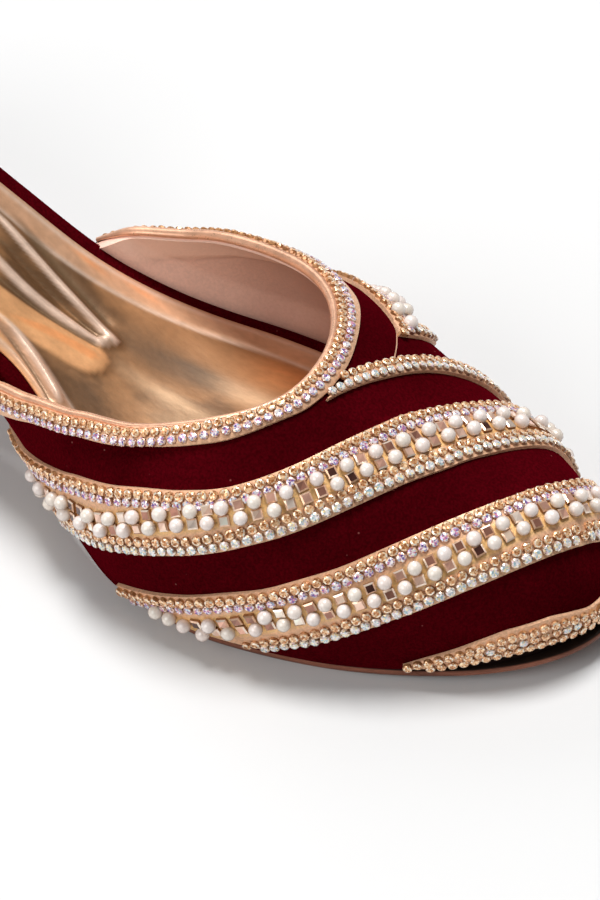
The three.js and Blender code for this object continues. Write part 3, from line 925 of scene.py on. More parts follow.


# Tints of the stones' facets by their role, linear colour; on the cut stones the lighter and darker tints
# of one colour are painted glints, reflections and shade of the cut, while the pearls' tints are their own
# colour
FACETS = {
    "gold": {
        "table": ((0.42, 0.15, 0.045), (1.0, 0.66, 0.38), (0.74, 0.36, 0.16)),
        "crown": ((1.0, 0.78, 0.53), (0.95, 0.58, 0.33), (0.60, 0.26, 0.10), (1.0, 0.92, 0.78)),
        "rim": ((0.28, 0.10, 0.035), (0.88, 0.52, 0.28)),
        "wall": ((0.62, 0.32, 0.14), (0.40, 0.18, 0.07)),
    },
    "aurora": {
        "table": ((0.97, 0.95, 0.92), (0.78, 0.72, 0.76), (0.98, 0.80, 0.46), (0.40, 0.56, 0.62)),
        "crown": (
            (0.98, 0.95, 0.92),
            (0.96, 0.86, 0.78),
            (0.98, 0.76, 0.42),
            (0.55, 0.70, 0.74),
            (0.88, 0.62, 0.66),
            (0.34, 0.23, 0.20),
        ),
        "rim": ((0.32, 0.18, 0.10), (0.85, 0.68, 0.52)),
        "wall": ((0.60, 0.38, 0.24), (0.36, 0.20, 0.12)),
    },
    "dusk": {
        "table": ((0.90, 0.80, 0.88), (0.22, 0.13, 0.38), (0.97, 0.92, 0.89), (0.70, 0.27, 0.40)),
        "crown": (
            (0.97, 0.91, 0.88),
            (0.94, 0.76, 0.68),
            (0.92, 0.58, 0.32),
            (0.40, 0.25, 0.52),
            (0.46, 0.62, 0.74),
            (0.34, 0.18, 0.16),
        ),
        "rim": ((0.36, 0.15, 0.09), (0.84, 0.58, 0.46)),
        "wall": ((0.58, 0.34, 0.24), (0.36, 0.18, 0.12)),
    },
    "square": {
        "table": (
            (0.10, 0.035, 0.026),
            (0.36, 0.16, 0.11),
            (0.76, 0.42, 0.31),
            (0.95, 0.62, 0.48),
            (1.0, 0.82, 0.70),
        ),
        "crown": ((0.80, 0.52, 0.36), (0.62, 0.36, 0.22), (0.95, 0.78, 0.64)),
        "wall": ((0.30, 0.14, 0.06),),
    },
    "pearl": {
        "body": ((0.83, 0.73, 0.66), (0.85, 0.75, 0.70), (0.83, 0.74, 0.65), (0.85, 0.73, 0.67)),
    },
}


def facet_tints(kind, count, roles):
    """A colour for each facet of each stone, drawn with a fixed seed: painted glints, reflections and shade
    on the cut stones, own colour on the pearls.
    """
    chance = np.random.default_rng(20 + list(FACETS).index(kind))
    tints = np.ones((count, len(roles), 4))
    whole = chance.random(count)
    for n, role in enumerate(roles):
        palette = np.array(FACETS[kind][role])
        even = role == "body" or (kind == "square" and role == "table")
        draw = whole if even else chance.random(count)
        tints[:, n, :3] = palette[(draw * len(palette)).astype(int)]
        if kind == "square" and role == "table":
            # Painted reflection: each square's table lighter or darker at random
            tints[:, n, :3] *= chance.uniform(0.75, 1.25, (count, 1))
    return np.clip(tints, 0, 1).reshape(-1, 4)


# Shader groups and finishes


def add(tree, kind, inputs=None, **settings):
    """One shader node with its settings; sockets given as inputs are linked, values are set."""
    node = tree.nodes.new(kind)
    for key, value in settings.items():
        setattr(node, key, value)
    for key, value in (inputs or {}).items():
        if isinstance(value, bpy.types.NodeSocket):
            tree.links.new(value, node.inputs[key])
        else:
            node.inputs[key].default_value = value
    return node


def math_node(tree, operation, a, b=0.0, c=0.0):
    """Result of one sum on values or sockets."""
    node = add(tree, "ShaderNodeMath", {0: a, 1: b, 2: c}, operation=operation)
    return node.outputs[0]


def blend_colour(tree, factor, a, b, kind="MIX"):
    """Mix of two colours by a factor."""
    node = add(tree, "ShaderNodeMix", {0: factor, 6: a, 7: b}, data_type="RGBA", blend_type=kind)
    return node.outputs[2]


def remap(tree, value, low, high, to_low=0.0, to_high=1.0):
    """Value moved from one range to another and kept inside it."""
    node = add(tree, "ShaderNodeMapRange", {0: value, 1: low, 2: high, 3: to_low, 4: to_high})
    node.interpolation_type = "SMOOTHSTEP"
    return node.outputs[0]


def colour(rgb):
    """Colour value with full alpha."""
    return (*rgb, 1.0)


def group_tree(name, inputs, outputs):
    """Empty shader group with named sockets."""
    tree = bpy.data.node_groups.new(name, "ShaderNodeTree")
    for socket, default in inputs.items():
        kind = "NodeSocketVector" if isinstance(default, tuple) else "NodeSocketFloat"
        item = tree.interface.new_socket(socket, in_out="INPUT", socket_type=kind)
        item.default_value = default
    for socket in outputs:
        tree.interface.new_socket(socket, in_out="OUTPUT", socket_type="NodeSocketFloat")
    return tree, tree.nodes.new("NodeGroupInput"), tree.nodes.new("NodeGroupOutput")


def grain_group():
    """Fine grain, broad patches and rare specks of a soft or leathery surface."""
    tree, given, out = group_tree(
        "mule_grain",
        {"Stretch": (1.0, 1.0, 1.0), "Fine Scale": 2500.0, "Patch Scale": 60.0},
        ("Grain", "Patches", "Specks"),
    )
    place = add(tree, "ShaderNodeTexCoord").outputs["Object"]
    spot = add(tree, "ShaderNodeVectorMath", {0: place, 1: given.outputs["Stretch"]}, operation="MULTIPLY")
    spot = spot.outputs[0]
    noises = {}
    for name, detail in (("Fine Scale", 3.0), ("Patch Scale", 4.0)):
        values = {"Vector": spot, "Scale": given.outputs[name], "Detail": detail}
        noises[name] = add(tree, "ShaderNodeTexNoise", values).outputs[0]
    speck = add(tree, "ShaderNodeTexVoronoi", {"Vector": place, "Scale": 420.0})
    rare = add(tree, "ShaderNodeTexWhiteNoise", {"Vector": speck.outputs["Position"]})
    near = remap(tree, speck.outputs["Distance"], 0.05, 0.11, 1.0, 0.0)
    chosen = math_node(tree, "GREATER_THAN", rare.outputs["Value"], 0.80)
    tree.links.new(noises["Fine Scale"], out.inputs["Grain"])
    tree.links.new(noises["Patch Scale"], out.inputs["Patches"])
    tree.links.new(math_node(tree, "MULTIPLY", near, chosen), out.inputs["Specks"])
    return tree


def new_finish(name):
    """New node material, its tree and its shader."""
    material = bpy.data.materials.new(name)
    material.use_nodes = True
    tree = material.node_tree
    return material, tree, tree.nodes["Principled BSDF"]


def set_shader(shader, values):
    """Constant numbers and colours on the shader's own sockets."""
    for key, value in values.items():
        shader.inputs[key].default_value = value


def place_grain(tree, fine, patch, stretch=(1.0, 1.0, 1.0)):
    """The grain group with one material's own values."""
    node = tree.nodes.new("ShaderNodeGroup")
    node.node_tree = bpy.data.node_groups.get("mule_grain") or grain_group()
    node.inputs["Stretch"].default_value = stretch
    node.inputs["Fine Scale"].default_value = fine
    node.inputs["Patch Scale"].default_value = patch
    return node


def bump(tree, shader, height, strength, distance):
    """Bump on a shader from a height."""
    node = add(tree, "ShaderNodeBump", {"Strength": strength, "Distance": distance, "Height": height})
    tree.links.new(node.outputs[0], shader.inputs["Normal"])


def mask_value(tree, name):
    """A mask stored on the mesh."""
    return add(tree, "ShaderNodeAttribute", attribute_name=name).outputs["Fac"]


def link_colour(tree, shader, value, socket="Base Color"):
    """Joins a colour or value to one of the shader's sockets."""
    tree.links.new(value, shader.inputs[socket])


def mottled(tree, grain, base, deep, light, low=0.35, high=0.65):
    """A colour that turns deeper and lighter in broad patches."""
    dark = colour([c * deep for c in base])
    pale = colour([min(c * light, 1) for c in base])
    return blend_colour(tree, remap(tree, grain.outputs["Patches"], low, high), dark, pale)


def flecked(tree, grain, tone, least, most, low=0.3, high=0.7, output="Grain"):
    """A tone dimmed and raised by the grain or by its patches."""
    fleck = remap(tree, grain.outputs[output], low, high, least, most)
    return blend_colour(tree, 1.0, tone, fleck, "MULTIPLY")


def washed(tree, tone, mask, most, tint):
    """A tone drawn towards a tint where a mask of the mesh lies."""
    amount = math_node(tree, "MULTIPLY", mask_value(tree, mask), most)
    return blend_colour(tree, amount, tone, colour(tint))


def roughen(tree, shader, grain, least, most, low=0.2, high=0.8, output="Grain"):
    """Roughness that follows the grain or its patches."""
    link_colour(tree, shader, remap(tree, grain.outputs[output], low, high, least, most), "Roughness")


def facet_tint(tree):
    """The tint stored on each facet."""
    return add(tree, "ShaderNodeAttribute", attribute_name="tint").outputs["Color"]


def velvet_finish(colours, name, painted=False, sheen=0.18):
    """Maroon velvet: soft brushed tones, a crimson sheen at glancing angles, rare lint, and if asked
    painted shade where it turns under at the toe.
    """
    material, tree, shader = new_finish(name)
    grain = place_grain(tree, 2000.0, 45.0)
    tone = mottled(tree, grain, colours.velvet, 0.84, 1.18)
    tone = flecked(tree, grain, tone, 0.68, 1.30, 0.25, 0.75)
    lint = math_node(tree, "MULTIPLY", grain.outputs["Specks"], 0.35)
    tone = blend_colour(tree, lint, tone, colour((0.40, 0.14, 0.12)))
    # Painted shade, near black, in the gap over the sole at the toe
    if painted:
        tone = washed(tree, tone, "sole_gap_shade", 1.0, (0.012, 0.007, 0.006))
    link_colour(tree, shader, tone)
    roughen(tree, shader, grain, 0.78, 0.95)
    bump(tree, shader, grain.outputs["Grain"], 0.35, 0.0002)
    set_shader(
        shader,
        {
            "Specular IOR Level": 0.0,
            "Sheen Weight": sheen,
            "Sheen Roughness": 0.30,
            "Sheen Tint": colour(colours.velvet_sheen),
        },
    )
    return material


def lining_finish(colours):
    """Rose gold lining leather with a pebbled grain, a soft metallic face and painted shade towards the toe
    box.
    """
    material, tree, shader = new_finish("rose_gold_lining")
    grain = place_grain(tree, 1500.0, 35.0)
    base = colours.rose_gold
    tone = mottled(tree, grain, base, 0.92, 1.08)
    tone = flecked(tree, grain, tone, 0.94, 1.04)
    tone = washed(tree, tone, "facing", 0.7, (1.0, 0.70, 0.55))
    # Painted shade deepening towards the toe box
    tone = washed(tree, tone, "shade", 0.85, (0.33, 0.135, 0.08))
    tone = washed(tree, tone, "seam", 0.35, [c * 0.45 for c in base])
    link_colour(tree, shader, tone)
    roughen(tree, shader, grain, 0.34, 0.52)
    bump(tree, shader, grain.outputs["Grain"], 0.25, 0.0003)
    set_shader(shader, {"Metallic": 0.1, "Specular IOR Level": 0.4})
    return material


def binding_finish(colours):
    """Rolled metallic edge, mottled and finely grained."""
    material, tree, shader = new_finish("rose_gold_roll")
    grain = place_grain(tree, 1800.0, 180.0)
    link_colour(tree, shader, mottled(tree, grain, colours.rose_gold_roll, 0.80, 1.15, 0.3, 0.7))
    roughen(tree, shader, grain, 0.25, 0.42)
    bump(tree, shader, grain.outputs["Grain"], 0.2, 0.0002)
    set_shader(shader, {"Metallic": 0.55})
    return material


# Washes of colour over the sock, most of them painted light: mask, greatest share and linear colour
SOCK_WASHES = (
    # Painted dark reflection
    ("dusk", 0.9, (0.10, 0.064, 0.038)),
    # Painted highlight
    ("sheen", 0.75, (0.78, 0.51, 0.30)),
    ("border", 0.75, (0.80, 0.46, 0.28)),
    ("peach", 0.9, (0.98, 0.50, 0.22)),
    # Painted red-orange reflection
    ("warm_reflection", 0.8, (0.94, 0.36, 0.12)),
    # Painted highlight on the crease ridges
    ("pale", 0.9, (0.98, 0.72, 0.56)),
    # Painted highlight along the padded border's edges
    ("line", 0.6, (0.88, 0.68, 0.54)),
    # Painted shade in the crease grooves
    ("dark", 0.75, (0.20, 0.12, 0.06)),
)


def foil_finish(colours):
    """Smooth metallic gold sock with warm tones, a paler border, painted highlights along its fold lines,
    and painted grey and red-orange reflections, highlights and crease shade.
    """
    material, tree, shader = new_finish("gold_foil_sock")
    grain = place_grain(tree, 900.0, 55.0, (0.5, 1.0, 1.0))
    streaks = place_grain(tree, 260.0, 110.0, (0.22, 1.0, 1.0))
    tone = mottled(tree, grain, colours.gold_sock, 0.62, 1.25, 0.44, 0.56)
    warm = remap(tree, streaks.outputs["Patches"], 0.54, 0.72, 0.0, 0.35)
    tone = blend_colour(tree, warm, tone, colour((0.66, 0.33, 0.14)))
    uneven = remap(tree, streaks.outputs["Grain"], 0.3, 0.7, 0.75, 1.0)
    for mask, most, tint in SOCK_WASHES:
        tone = washed(tree, tone, mask, math_node(tree, "MULTIPLY", uneven, most), tint)
    link_colour(tree, shader, flecked(tree, grain, tone, 0.94, 1.05))
    roughen(tree, shader, grain, 0.36, 0.50, 0.3, 0.7, "Patches")
    height = math_node(tree, "MULTIPLY_ADD", streaks.outputs["Grain"], 1.5, grain.outputs["Grain"])
    bump(tree, shader, height, 0.10, 0.0004)
    set_shader(shader, {"Metallic": 0.4})
    return material


def tape_finish(colours):
    """Tape under the stones: rose gold edges, warm gold glue bed between the rows."""
    material, tree, shader = new_finish("jewelled_tape")
    grain = place_grain(tree, 2200.0, 300.0)
    deep, light = colour((0.86, 0.46, 0.15)), colour((1.0, 0.68, 0.32))
    bed = blend_colour(tree, grain.outputs["Patches"], deep, light)
    tone = blend_colour(tree, mask_value(tree, "bed"), colour(colours.tape_edge), bed)
    link_colour(tree, shader, flecked(tree, grain, tone, 0.82, 1.1))
    roughen(tree, shader, grain, 0.35, 0.6)
    bump(tree, shader, grain.outputs["Grain"], 0.3, 0.0002)
    set_shader(shader, {"Metallic": 0.3})
    return material


def stone_finish(name, metallic, roughness, coat):
    """Cut stone whose facets carry stored tints of painted glints, reflections and shade, with faint
    cloudiness.
    """
    material, tree, shader = new_finish(name)
    grain = place_grain(tree, 1600.0, 500.0)
    link_colour(tree, shader, flecked(tree, grain, facet_tint(tree), 0.9, 1.08, output="Patches"))
    roughen(tree, shader, grain, *roughness, 0.3, 0.7)
    set_shader(shader, {"Metallic": metallic, "Coat Weight": coat, "Coat Roughness": 0.04})
    return material


def pearl_finish():
    """Milky pearl with painted shade that turns it rosy grey towards its edge, under a clear gloss."""
    material, tree, shader = new_finish("pearl_nacre")
    grain = place_grain(tree, 900.0, 240.0)
    facing = add(tree, "ShaderNodeLayerWeight", {"Blend": 0.4}).outputs["Facing"]
    # Painted shade: darker rosy grey towards the silhouette
    edge = remap(tree, facing, 0.25, 0.95, 0.0, 0.95)
    tone = blend_colour(tree, edge, facet_tint(tree), colour((0.36, 0.24, 0.19)))
    link_colour(tree, shader, flecked(tree, grain, tone, 0.97, 1.03, output="Patches"))
    roughen(tree, shader, grain, 0.24, 0.32, 0.3, 0.7)
    set_shader(shader, {"Specular IOR Level": 0.8, "Coat Weight": 0.8, "Coat Roughness": 0.16})
    return material


def leather_finish(colours):
    """Brown sole leather, mottled and finely grained, with painted shade on its top ledge in the gap under
    the upper.
    """
    material, tree, shader = new_finish("sole_leather_brown")
    grain = place_grain(tree, 1500.0, 90.0, (0.5, 1.0, 3.0))
    tone = mottled(tree, grain, colours.sole_leather, 0.72, 1.25)
    tone = flecked(tree, grain, tone, 0.86, 1.1)
    # Painted shade, near black, on the top ledge in the gap under the upper
    tone = washed(tree, tone, "sole_gap_shade", 1.0, (0.014, 0.008, 0.006))
    link_colour(tree, shader, tone)
    roughen(tree, shader, grain, 0.38, 0.58)
    bump(tree, shader, grain.outputs["Grain"], 0.25, 0.0003)
    set_shader(shader, {"Specular IOR Level": 0.15})
    return material


def rubber_finish(colours):
    """Dark rubber top lift, dull and lightly pitted."""
    material, tree, shader = new_finish("lift_rubber_dark")
    grain = place_grain(tree, 1300.0, 150.0)
    base = colours.lift_rubber
    tone = blend_colour(tree, grain.outputs["Patches"], colour([c * 0.7 for c in base]), colour(base))
    link_colour(tree, shader, tone)
    roughen(tree, shader, grain, 0.6, 0.85)
    bump(tree, shader, grain.outputs["Grain"], 0.2, 0.0003)
    return material


# Properties


class MuleStones(bpy.types.PropertyGroup):
    """Sizes of the stones on the tapes."""

    stone: FloatProperty(
        name="Round stone", description="Diameter of the round stones", default=0.00212, unit="LENGTH"
    )
    stone_pitch: FloatProperty(
        name="Stone pitch", description="Distance of stones along a row", default=0.00216, unit="LENGTH"
    )
    pearl: FloatProperty(
        name="Pearl", description="Diameter of the pearls", default=0.0029, unit="LENGTH"
    )
    pearl_pitch: FloatProperty(
        name="Pearl pitch", description="Distance in a row of pearls", default=0.0030, unit="LENGTH"
    )
    square: FloatProperty(
        name="Square stone", description="Side of the mirror stones", default=0.0021, unit="LENGTH"
    )


class MuleColours(bpy.types.PropertyGroup):
    """Colours of the shoe's materials."""

    velvet: FloatVectorProperty(
        name="Velvet",
        description="Body colour of the velvet",
        subtype="COLOR",
        default=(0.053, 0.0007, 0.0026),
    )
    velvet_sheen: FloatVectorProperty(
        name="Velvet sheen",
        description="Colour of the pile at glancing angles",
        subtype="COLOR",
        default=(1.0, 0.0, 0.06),
    )
    rose_gold: FloatVectorProperty(
        name="Lining", description="Rose gold lining leather", subtype="COLOR", default=(1.0, 0.62, 0.50)
    )
    rose_gold_roll: FloatVectorProperty(
        name="Rolled edge",
        description="Rolled edge of the topline",
        subtype="COLOR",
        default=(0.80, 0.45, 0.29),
    )
    gold_sock: FloatVectorProperty(
        name="Sock", description="Metallic sock", subtype="COLOR", default=(0.27, 0.13, 0.052)
    )
    tape_edge: FloatVectorProperty(
        name="Tape edge", description="Bare edge of the tapes", subtype="COLOR", default=(0.82, 0.48, 0.29)
    )
    sole_leather: FloatVectorProperty(
        name="Sole", description="Edge of the outsole", subtype="COLOR", default=(0.23, 0.085, 0.052)
    )
    lift_rubber: FloatVectorProperty(
        name="Top lift",
        description="Rubber of the top lift",
        subtype="COLOR",
        default=(0.033, 0.018, 0.014),
    )


class MuleStage(bpy.types.PropertyGroup):
    """Camera and light."""

    azimuth: FloatProperty(
        name="Azimuth",
        description="Camera's turn round the shoe",
        subtype="ANGLE",
        default=math.radians(27.85),
    )
    elevation: FloatProperty(
        name="Elevation", description="Camera's height angle", subtype="ANGLE", default=math.radians(47.73)
    )
    distance: FloatProperty(name="Distance", description="Camera to the shoe", default=0.9, unit="LENGTH")
    key_power: FloatProperty(
        name="Key light", description="Power of the overhead light in watts", default=56.0
    )
    fill_power: FloatProperty(
        name="Fill light", description="Power of the side lights in watts", default=28.0
    )
    room_light: FloatProperty(
        name="Room light", description="Strength of the light from all round", default=0.18
    )


# Operators


class MULE_OT_stage(bpy.types.Operator):
    """Sets the pale floor, the soft lights and the camera"""

    bl_idname = "mule.stage"
    bl_label = "Stage"

    # Floor, spot that the lights face, and power of the back light against the front one
    floor_reach = 4.0
    floor_drop = 0.0002
    light_target = (0.03, 0, 0.02)
    back_share = 0.45

    # The photograph: pixels per millimetre, height of its frame, the spot of the last's plan that the
    # camera keeps its distance from, and pixels from there to the frame's middle
    pixels_per_mm = 5.08
    frame_height = 900
    anchor = (165.0, 0.0, 0.0)
    aside = 13
    below = 49

    def execute(self, context):
        stage = context.scene.mule_stage
        floor_mesh = bpy.data.meshes.new("studio_floor")
        reach = self.floor_reach
        corners = [(-reach, -reach, 0), (reach, -reach, 0), (reach, reach, 0), (-reach, reach, 0)]
        floor_mesh.from_pydata(corners, [], [(0, 1, 2, 3)])
        floor = bpy.data.objects.new("studio_floor", floor_mesh)
        floor.location.z = -self.floor_drop
        context.scene.collection.objects.link(floor)
        material, tree, shader = new_finish("studio_white")
        noise = add(tree, "ShaderNodeTexNoise", {"Scale": 3.0})
        link_colour(tree, shader, remap(tree, noise.outputs[0], 0.3, 0.7, 0.73, 0.75))
        set_shader(shader, {"Roughness": 0.9, "Specular IOR Level": 0.05})
        floor_mesh.materials.append(material)
        self.make_lights(context, stage)
        self.make_camera(context, stage)
        context.scene.view_settings.view_transform = "Standard"
        return {"FINISHED"}

    def make_lights(self, context, stage):
        """One broad light overhead and two softer ones beside it, in a pale room."""
        world = context.scene.world or bpy.data.worlds.new("studio_room")
        context.scene.world = world
        world.use_nodes = True
        room = world.node_tree.nodes["Background"]
        room.inputs[0].default_value = (1.0, 0.99, 0.98, 1.0)
        room.inputs[1].default_value = stage.room_light
        target = Vector(self.light_target)
        lamps = (
            ("key_overhead", (-0.2, 0.55, 2.35), 1.0, stage.key_power),
            ("fill_front", (-0.9, -1.9, 1.4), 1.8, stage.fill_power),
            ("fill_back", (-1.6, 1.0, 1.4), 1.4, stage.fill_power * self.back_share),
        )
        for name, place, size, power in lamps:
            lamp = bpy.data.lights.new(name, "AREA")
            lamp.shape = "DISK"
            lamp.size = size
            lamp.energy = power
            holder = bpy.data.objects.new(name, lamp)
            holder.location = place
            holder.rotation_euler = (target - Vector(place)).to_track_quat("-Z", "Y").to_euler()
            context.scene.collection.objects.link(holder)

    def make_camera(self, context, stage):
        """Camera at the photograph's angle, with the vamp in its frame."""
        a, e = stage.azimuth, stage.elevation
        back = Vector((math.sin(a) * math.cos(e), -math.cos(a) * math.cos(e), math.sin(e)))
        right = Vector((math.cos(a), math.sin(a), 0))
        up = back.cross(right)
        focal = self.pixels_per_mm / MM * stage.distance
        anchor = Vector(in_frame(self.anchor))
        pixel = stage.distance / focal
        target = anchor + right * (self.aside * pixel) + up * (self.below * pixel)
        lens = bpy.data.cameras.new("camera")
        lens.sensor_fit = "AUTO"
        lens.sensor_width = 36.0
        lens.lens = focal / self.frame_height * lens.sensor_width
        lens.clip_start, lens.clip_end = 0.01, 20
        camera = bpy.data.objects.new("camera", lens)
        camera.location = anchor + back * stage.distance
        camera.rotation_euler = (target - camera.location).to_track_quat("-Z", "Y").to_euler()
        context.scene.collection.objects.link(camera)
        context.scene.camera = camera


class MULE_OT_upper(bpy.types.Operator):
    """Makes the velvet upper and its lining"""

    bl_idname = "mule.upper"
    bl_label = "Upper"

    # Rows of points round the section, partly even and partly closer at the feather edges
    even_share = 0.42
    close_share = 0.29

    # Degrees at the feather edges over which the velvet is drawn down to the sole
    tuck_turn = 1.6

    # Painted shade in the gap over the sole at the toe: heights over which it fades and stations over which
    # it begins
    gap_shade_heights = (1.7, 2.5)
    gap_shade_stations = (207, 216)

    # Lining: gap to the velvet, thickness and edge of its facing, half width and depth of the seam, degrees
    # over which both fade at the feather edges, stations over which its painted shade deepens, and the
    # facing's share less
    lining_gap = 0.02
    facing_thick = 0.35
    facing_fade = (-0.4, 0.4)
    seam_half = 0.6
    seam_depth = 0.15
    upright_turn = (4.0, 14.0)
    shade_stations = (116, 166)
    facing_shade = 0.75

    # Flare of the lining over the board: its reach, where it begins and ends in height, and in stations
    flare_reach = 2.0
    flare_low = (3.0, 5.0)
    flare_high = (5.5, 13.0)
    flare_end = (195, 215)

    # Bright cut edge of the outer panel
    panel_stand = 0.12
    panel_radius = 0.14

    def execute(self, context):
        colours = context.scene.mule_colours
        share = np.linspace(0, 1, 220)
        angle = 180 * (self.even_share * share + self.close_share * (1 - np.cos(np.pi * share)))
        angle = angle[:, None]
        along = np.sin(np.linspace(0, 1, 120)[None, :] * np.pi / 2)
        start = beside_topline(angle, -EDGE_MEET)
        outer_x = start + (UPPER_LENGTH - start) * along
        inner_x = start + (UPPER_LENGTH - WALL - start) * along
        outer = skin(outer_x, angle, np.zeros_like(outer_x))
        outer[:, -1] = section(UPPER_LENGTH, 0.0, 0)
        inner = section(inner_x, angle, WALL)
        feather = np.minimum(angle, 180 - angle)
        outer[..., 2] -= CLOSED_GAP * (1 - smoothstep(feather, 0.0, self.tuck_turn))
        middle = outer * 0.5 + inner * 0.5
        self.make_velvet(colours, outer_x, angle, outer, middle)
        self.make_lining(colours, inner_x, angle, inner, middle, outer)
        self.make_panel_edge(colours)
        return {"FINISHED"}

    def make_velvet(self, colours, x, angle, outer, middle):
        """Velvet outside, with painted shade where it turns under into the gap over the sole at the toe."""
        # Painted shade low on the velvet near the toe, where it turns under
        low = 1 - smoothstep(height_over_sole(x, angle), *self.gap_shade_heights)
        toe_gap_shade = low * smoothstep(x, *self.gap_shade_stations)
        points, faces = shell(outer, middle)
        masks = {"sole_gap_shade": np.concatenate([toe_gap_shade.ravel(), toe_gap_shade.ravel()])}
        finish = velvet_finish(colours, "velvet_upper", painted=True)
        make_piece("upper_velvet", points, faces, finish, ("upper",), masks)

    def make_lining(self, colours, x, angle, inner, middle, outer):
        """Lining leather with a stitched facing along the topline, flared out over the board below."""
        off = x - beside_topline(angle, FACING_WIDTH)
        upright = smoothstep(np.minimum(angle, 180 - angle), *self.upright_turn)
        facing = (1 - smoothstep(off, *self.facing_fade)) * upright
        seam = np.exp(-((off / self.seam_half) ** 2)) * upright
        height = height_over_sole(x, angle)
        flare = 1 - smoothstep(height, *self.flare_high)
        flare = self.flare_reach * flare * smoothstep(height, *self.flare_low)
        flare *= 1 - smoothstep(x, *self.flare_end)
        inward = unit(inner - outer)
        face = inner + inward * (self.facing_thick * facing - self.seam_depth * seam)[..., None]
        face[..., 1] -= np.sign(face[..., 1] - centre(x)) * flare
        points, faces = shell(middle + inward * self.lining_gap, face)
        # Painted shade towards the toe box, less of it on the facing
        shade = smoothstep(x, *self.shade_stations) * (1 - self.facing_shade * facing)
        masks = {"seam": seam, "facing": facing, "shade": shade}
        back = np.zeros(seam.size)
        masks = {name: np.concatenate([back, mask.ravel()]) for name, mask in masks.items()}
        make_piece("upper_lining", points, faces, lining_finish(colours), ("upper",), masks)

    def make_panel_edge(self, colours):
        """Thin bright cut edge of the outer panel."""
        angle = np.linspace(PANEL_EDGE["angle"][0], PANEL_EDGE["angle"][-1], 40)
        x = curve(PANEL_EDGE, "x")(angle)
        path = skin(x, angle, np.full_like(x, self.panel_stand))
        ahead = unit(np.gradient(path, axis=0))
        normal = outward(x, angle)
        points, faces = tube(path, np.cross(ahead, normal), normal, np.full(len(x), self.panel_radius), 8)
        make_piece("panel_edge", points, faces, binding_finish(colours))


class MULE_OT_binding(bpy.types.Operator):
    """Makes the rolled edge of the topline"""

    bl_idname = "mule.binding"
    bl_label = "Rolled edge"

    # How far it stands out, its width against its radius, and degrees over which its ends grow thin
    stand = 0.2
    flatness = 1.35
    start_turn = 8
    end_turn = 12

    def execute(self, context):
        angle = np.linspace(BINDING_FROM, BINDING_TO, 360)
        edge = self.edge(angle)
        along = unit(self.edge(angle + WIDE_TURN) - self.edge(angle - WIDE_TURN))
        normal = outward(edge[:, 0], angle)
        away = unit(np.cross(normal, along))
        away = np.where(away[:, :1] > 0, -away, away)
        path = edge + away * (BINDING_RADIUS + GAP) + normal * self.stand
        start = smoothstep(angle, BINDING_FROM, BINDING_FROM + self.start_turn)
        end = 1 - smoothstep(angle, BINDING_TO - self.end_turn, BINDING_TO)
        radius = BINDING_RADIUS * (0.5 + 0.5 * start * end)
        points, faces = tube(path, normal * self.flatness, away, radius, 18)
        finish = binding_finish(context.scene.mule_colours)
        make_piece("topline_roll", points, faces, finish, ("topline_binding",))
        return {"FINISHED"}

    def edge(self, angle):
        """Middle of the wall where the topline is cut."""
        return section(topline_at(topline_wall, angle), angle, WALL / 2)


class MULE_OT_tapes(bpy.types.Operator):
    """Makes the tapes that carry the stones"""

    bl_idname = "mule.tapes"
    bl_label = "Tapes"

    # Points across a tape, its underside over the upper, and where its glue bed begins across it
    columns = 15
    underside = 0.04
    bed_edge = (0.28, 0.33)

    def execute(self, context):
        finish = tape_finish(context.scene.mule_colours)
        for name, spot, rows, steps, _, _ in TAPES:
            along = np.linspace(0, 1, steps)[:, None]
            across = np.broadcast_to(np.linspace(0, 1, self.columns), (steps, self.columns))
            x, angle = spot(along, across)
            angle = np.broadcast_to(angle, x.shape)
            top = skin(x, angle, GAP + tape_thick(across))
            bottom = skin(x, angle, np.full(x.shape, self.underside))
            points, faces = shell(top, bottom)
            bed = np.zeros(x.size)
            if rows is WIDE_ROWS:
                bed = smoothstep(np.minimum(across, 1 - across), *self.bed_edge).ravel()
            masks = {"bed": np.concatenate([bed, bed])}
            make_piece(f"tape_{name}", points, faces, finish, (f"band_{name}",), masks)
        return {"FINISHED"}


class MULE_OT_stones(bpy.types.Operator):
    """Sets the pearls and the cut stones on the tapes"""

    bl_idname = "mule.stones"
    bl_label = "Stones"

    def execute(self, context):
        places = set_stones(context.scene.mule_stones)
        aurora = stone_finish("aurora_stone", 0.3, (0.08, 0.18), 0.4)
        champagne = stone_finish("champagne_stone", 0.4, (0.12, 0.22), 0.4)
        mirror = stone_finish("mirror_stone", 0.5, (0.08, 0.16), 0.3)
        kinds = (
            ("gold", "gold_stones", gem(), champagne, 0),
            ("aurora", "aurora_stones", gem(), aurora, 0),
            ("dusk", "violet_stones", gem(), aurora, 0),
            ("square", "mirror_squares", square_stone(), mirror, 0),
            ("pearl", "pearls", pearl_ball(), pearl_finish(), 70),
        )
        for kind, name, cut, finish, smooth_to in kinds:
            points, faces = scatter(cut, places[kind])
            tints = facet_tints(kind, len(places[kind]), cut[2])
            make_piece(name, points, faces, finish, (), None, tints, smooth_to)
        return {"FINISHED"}


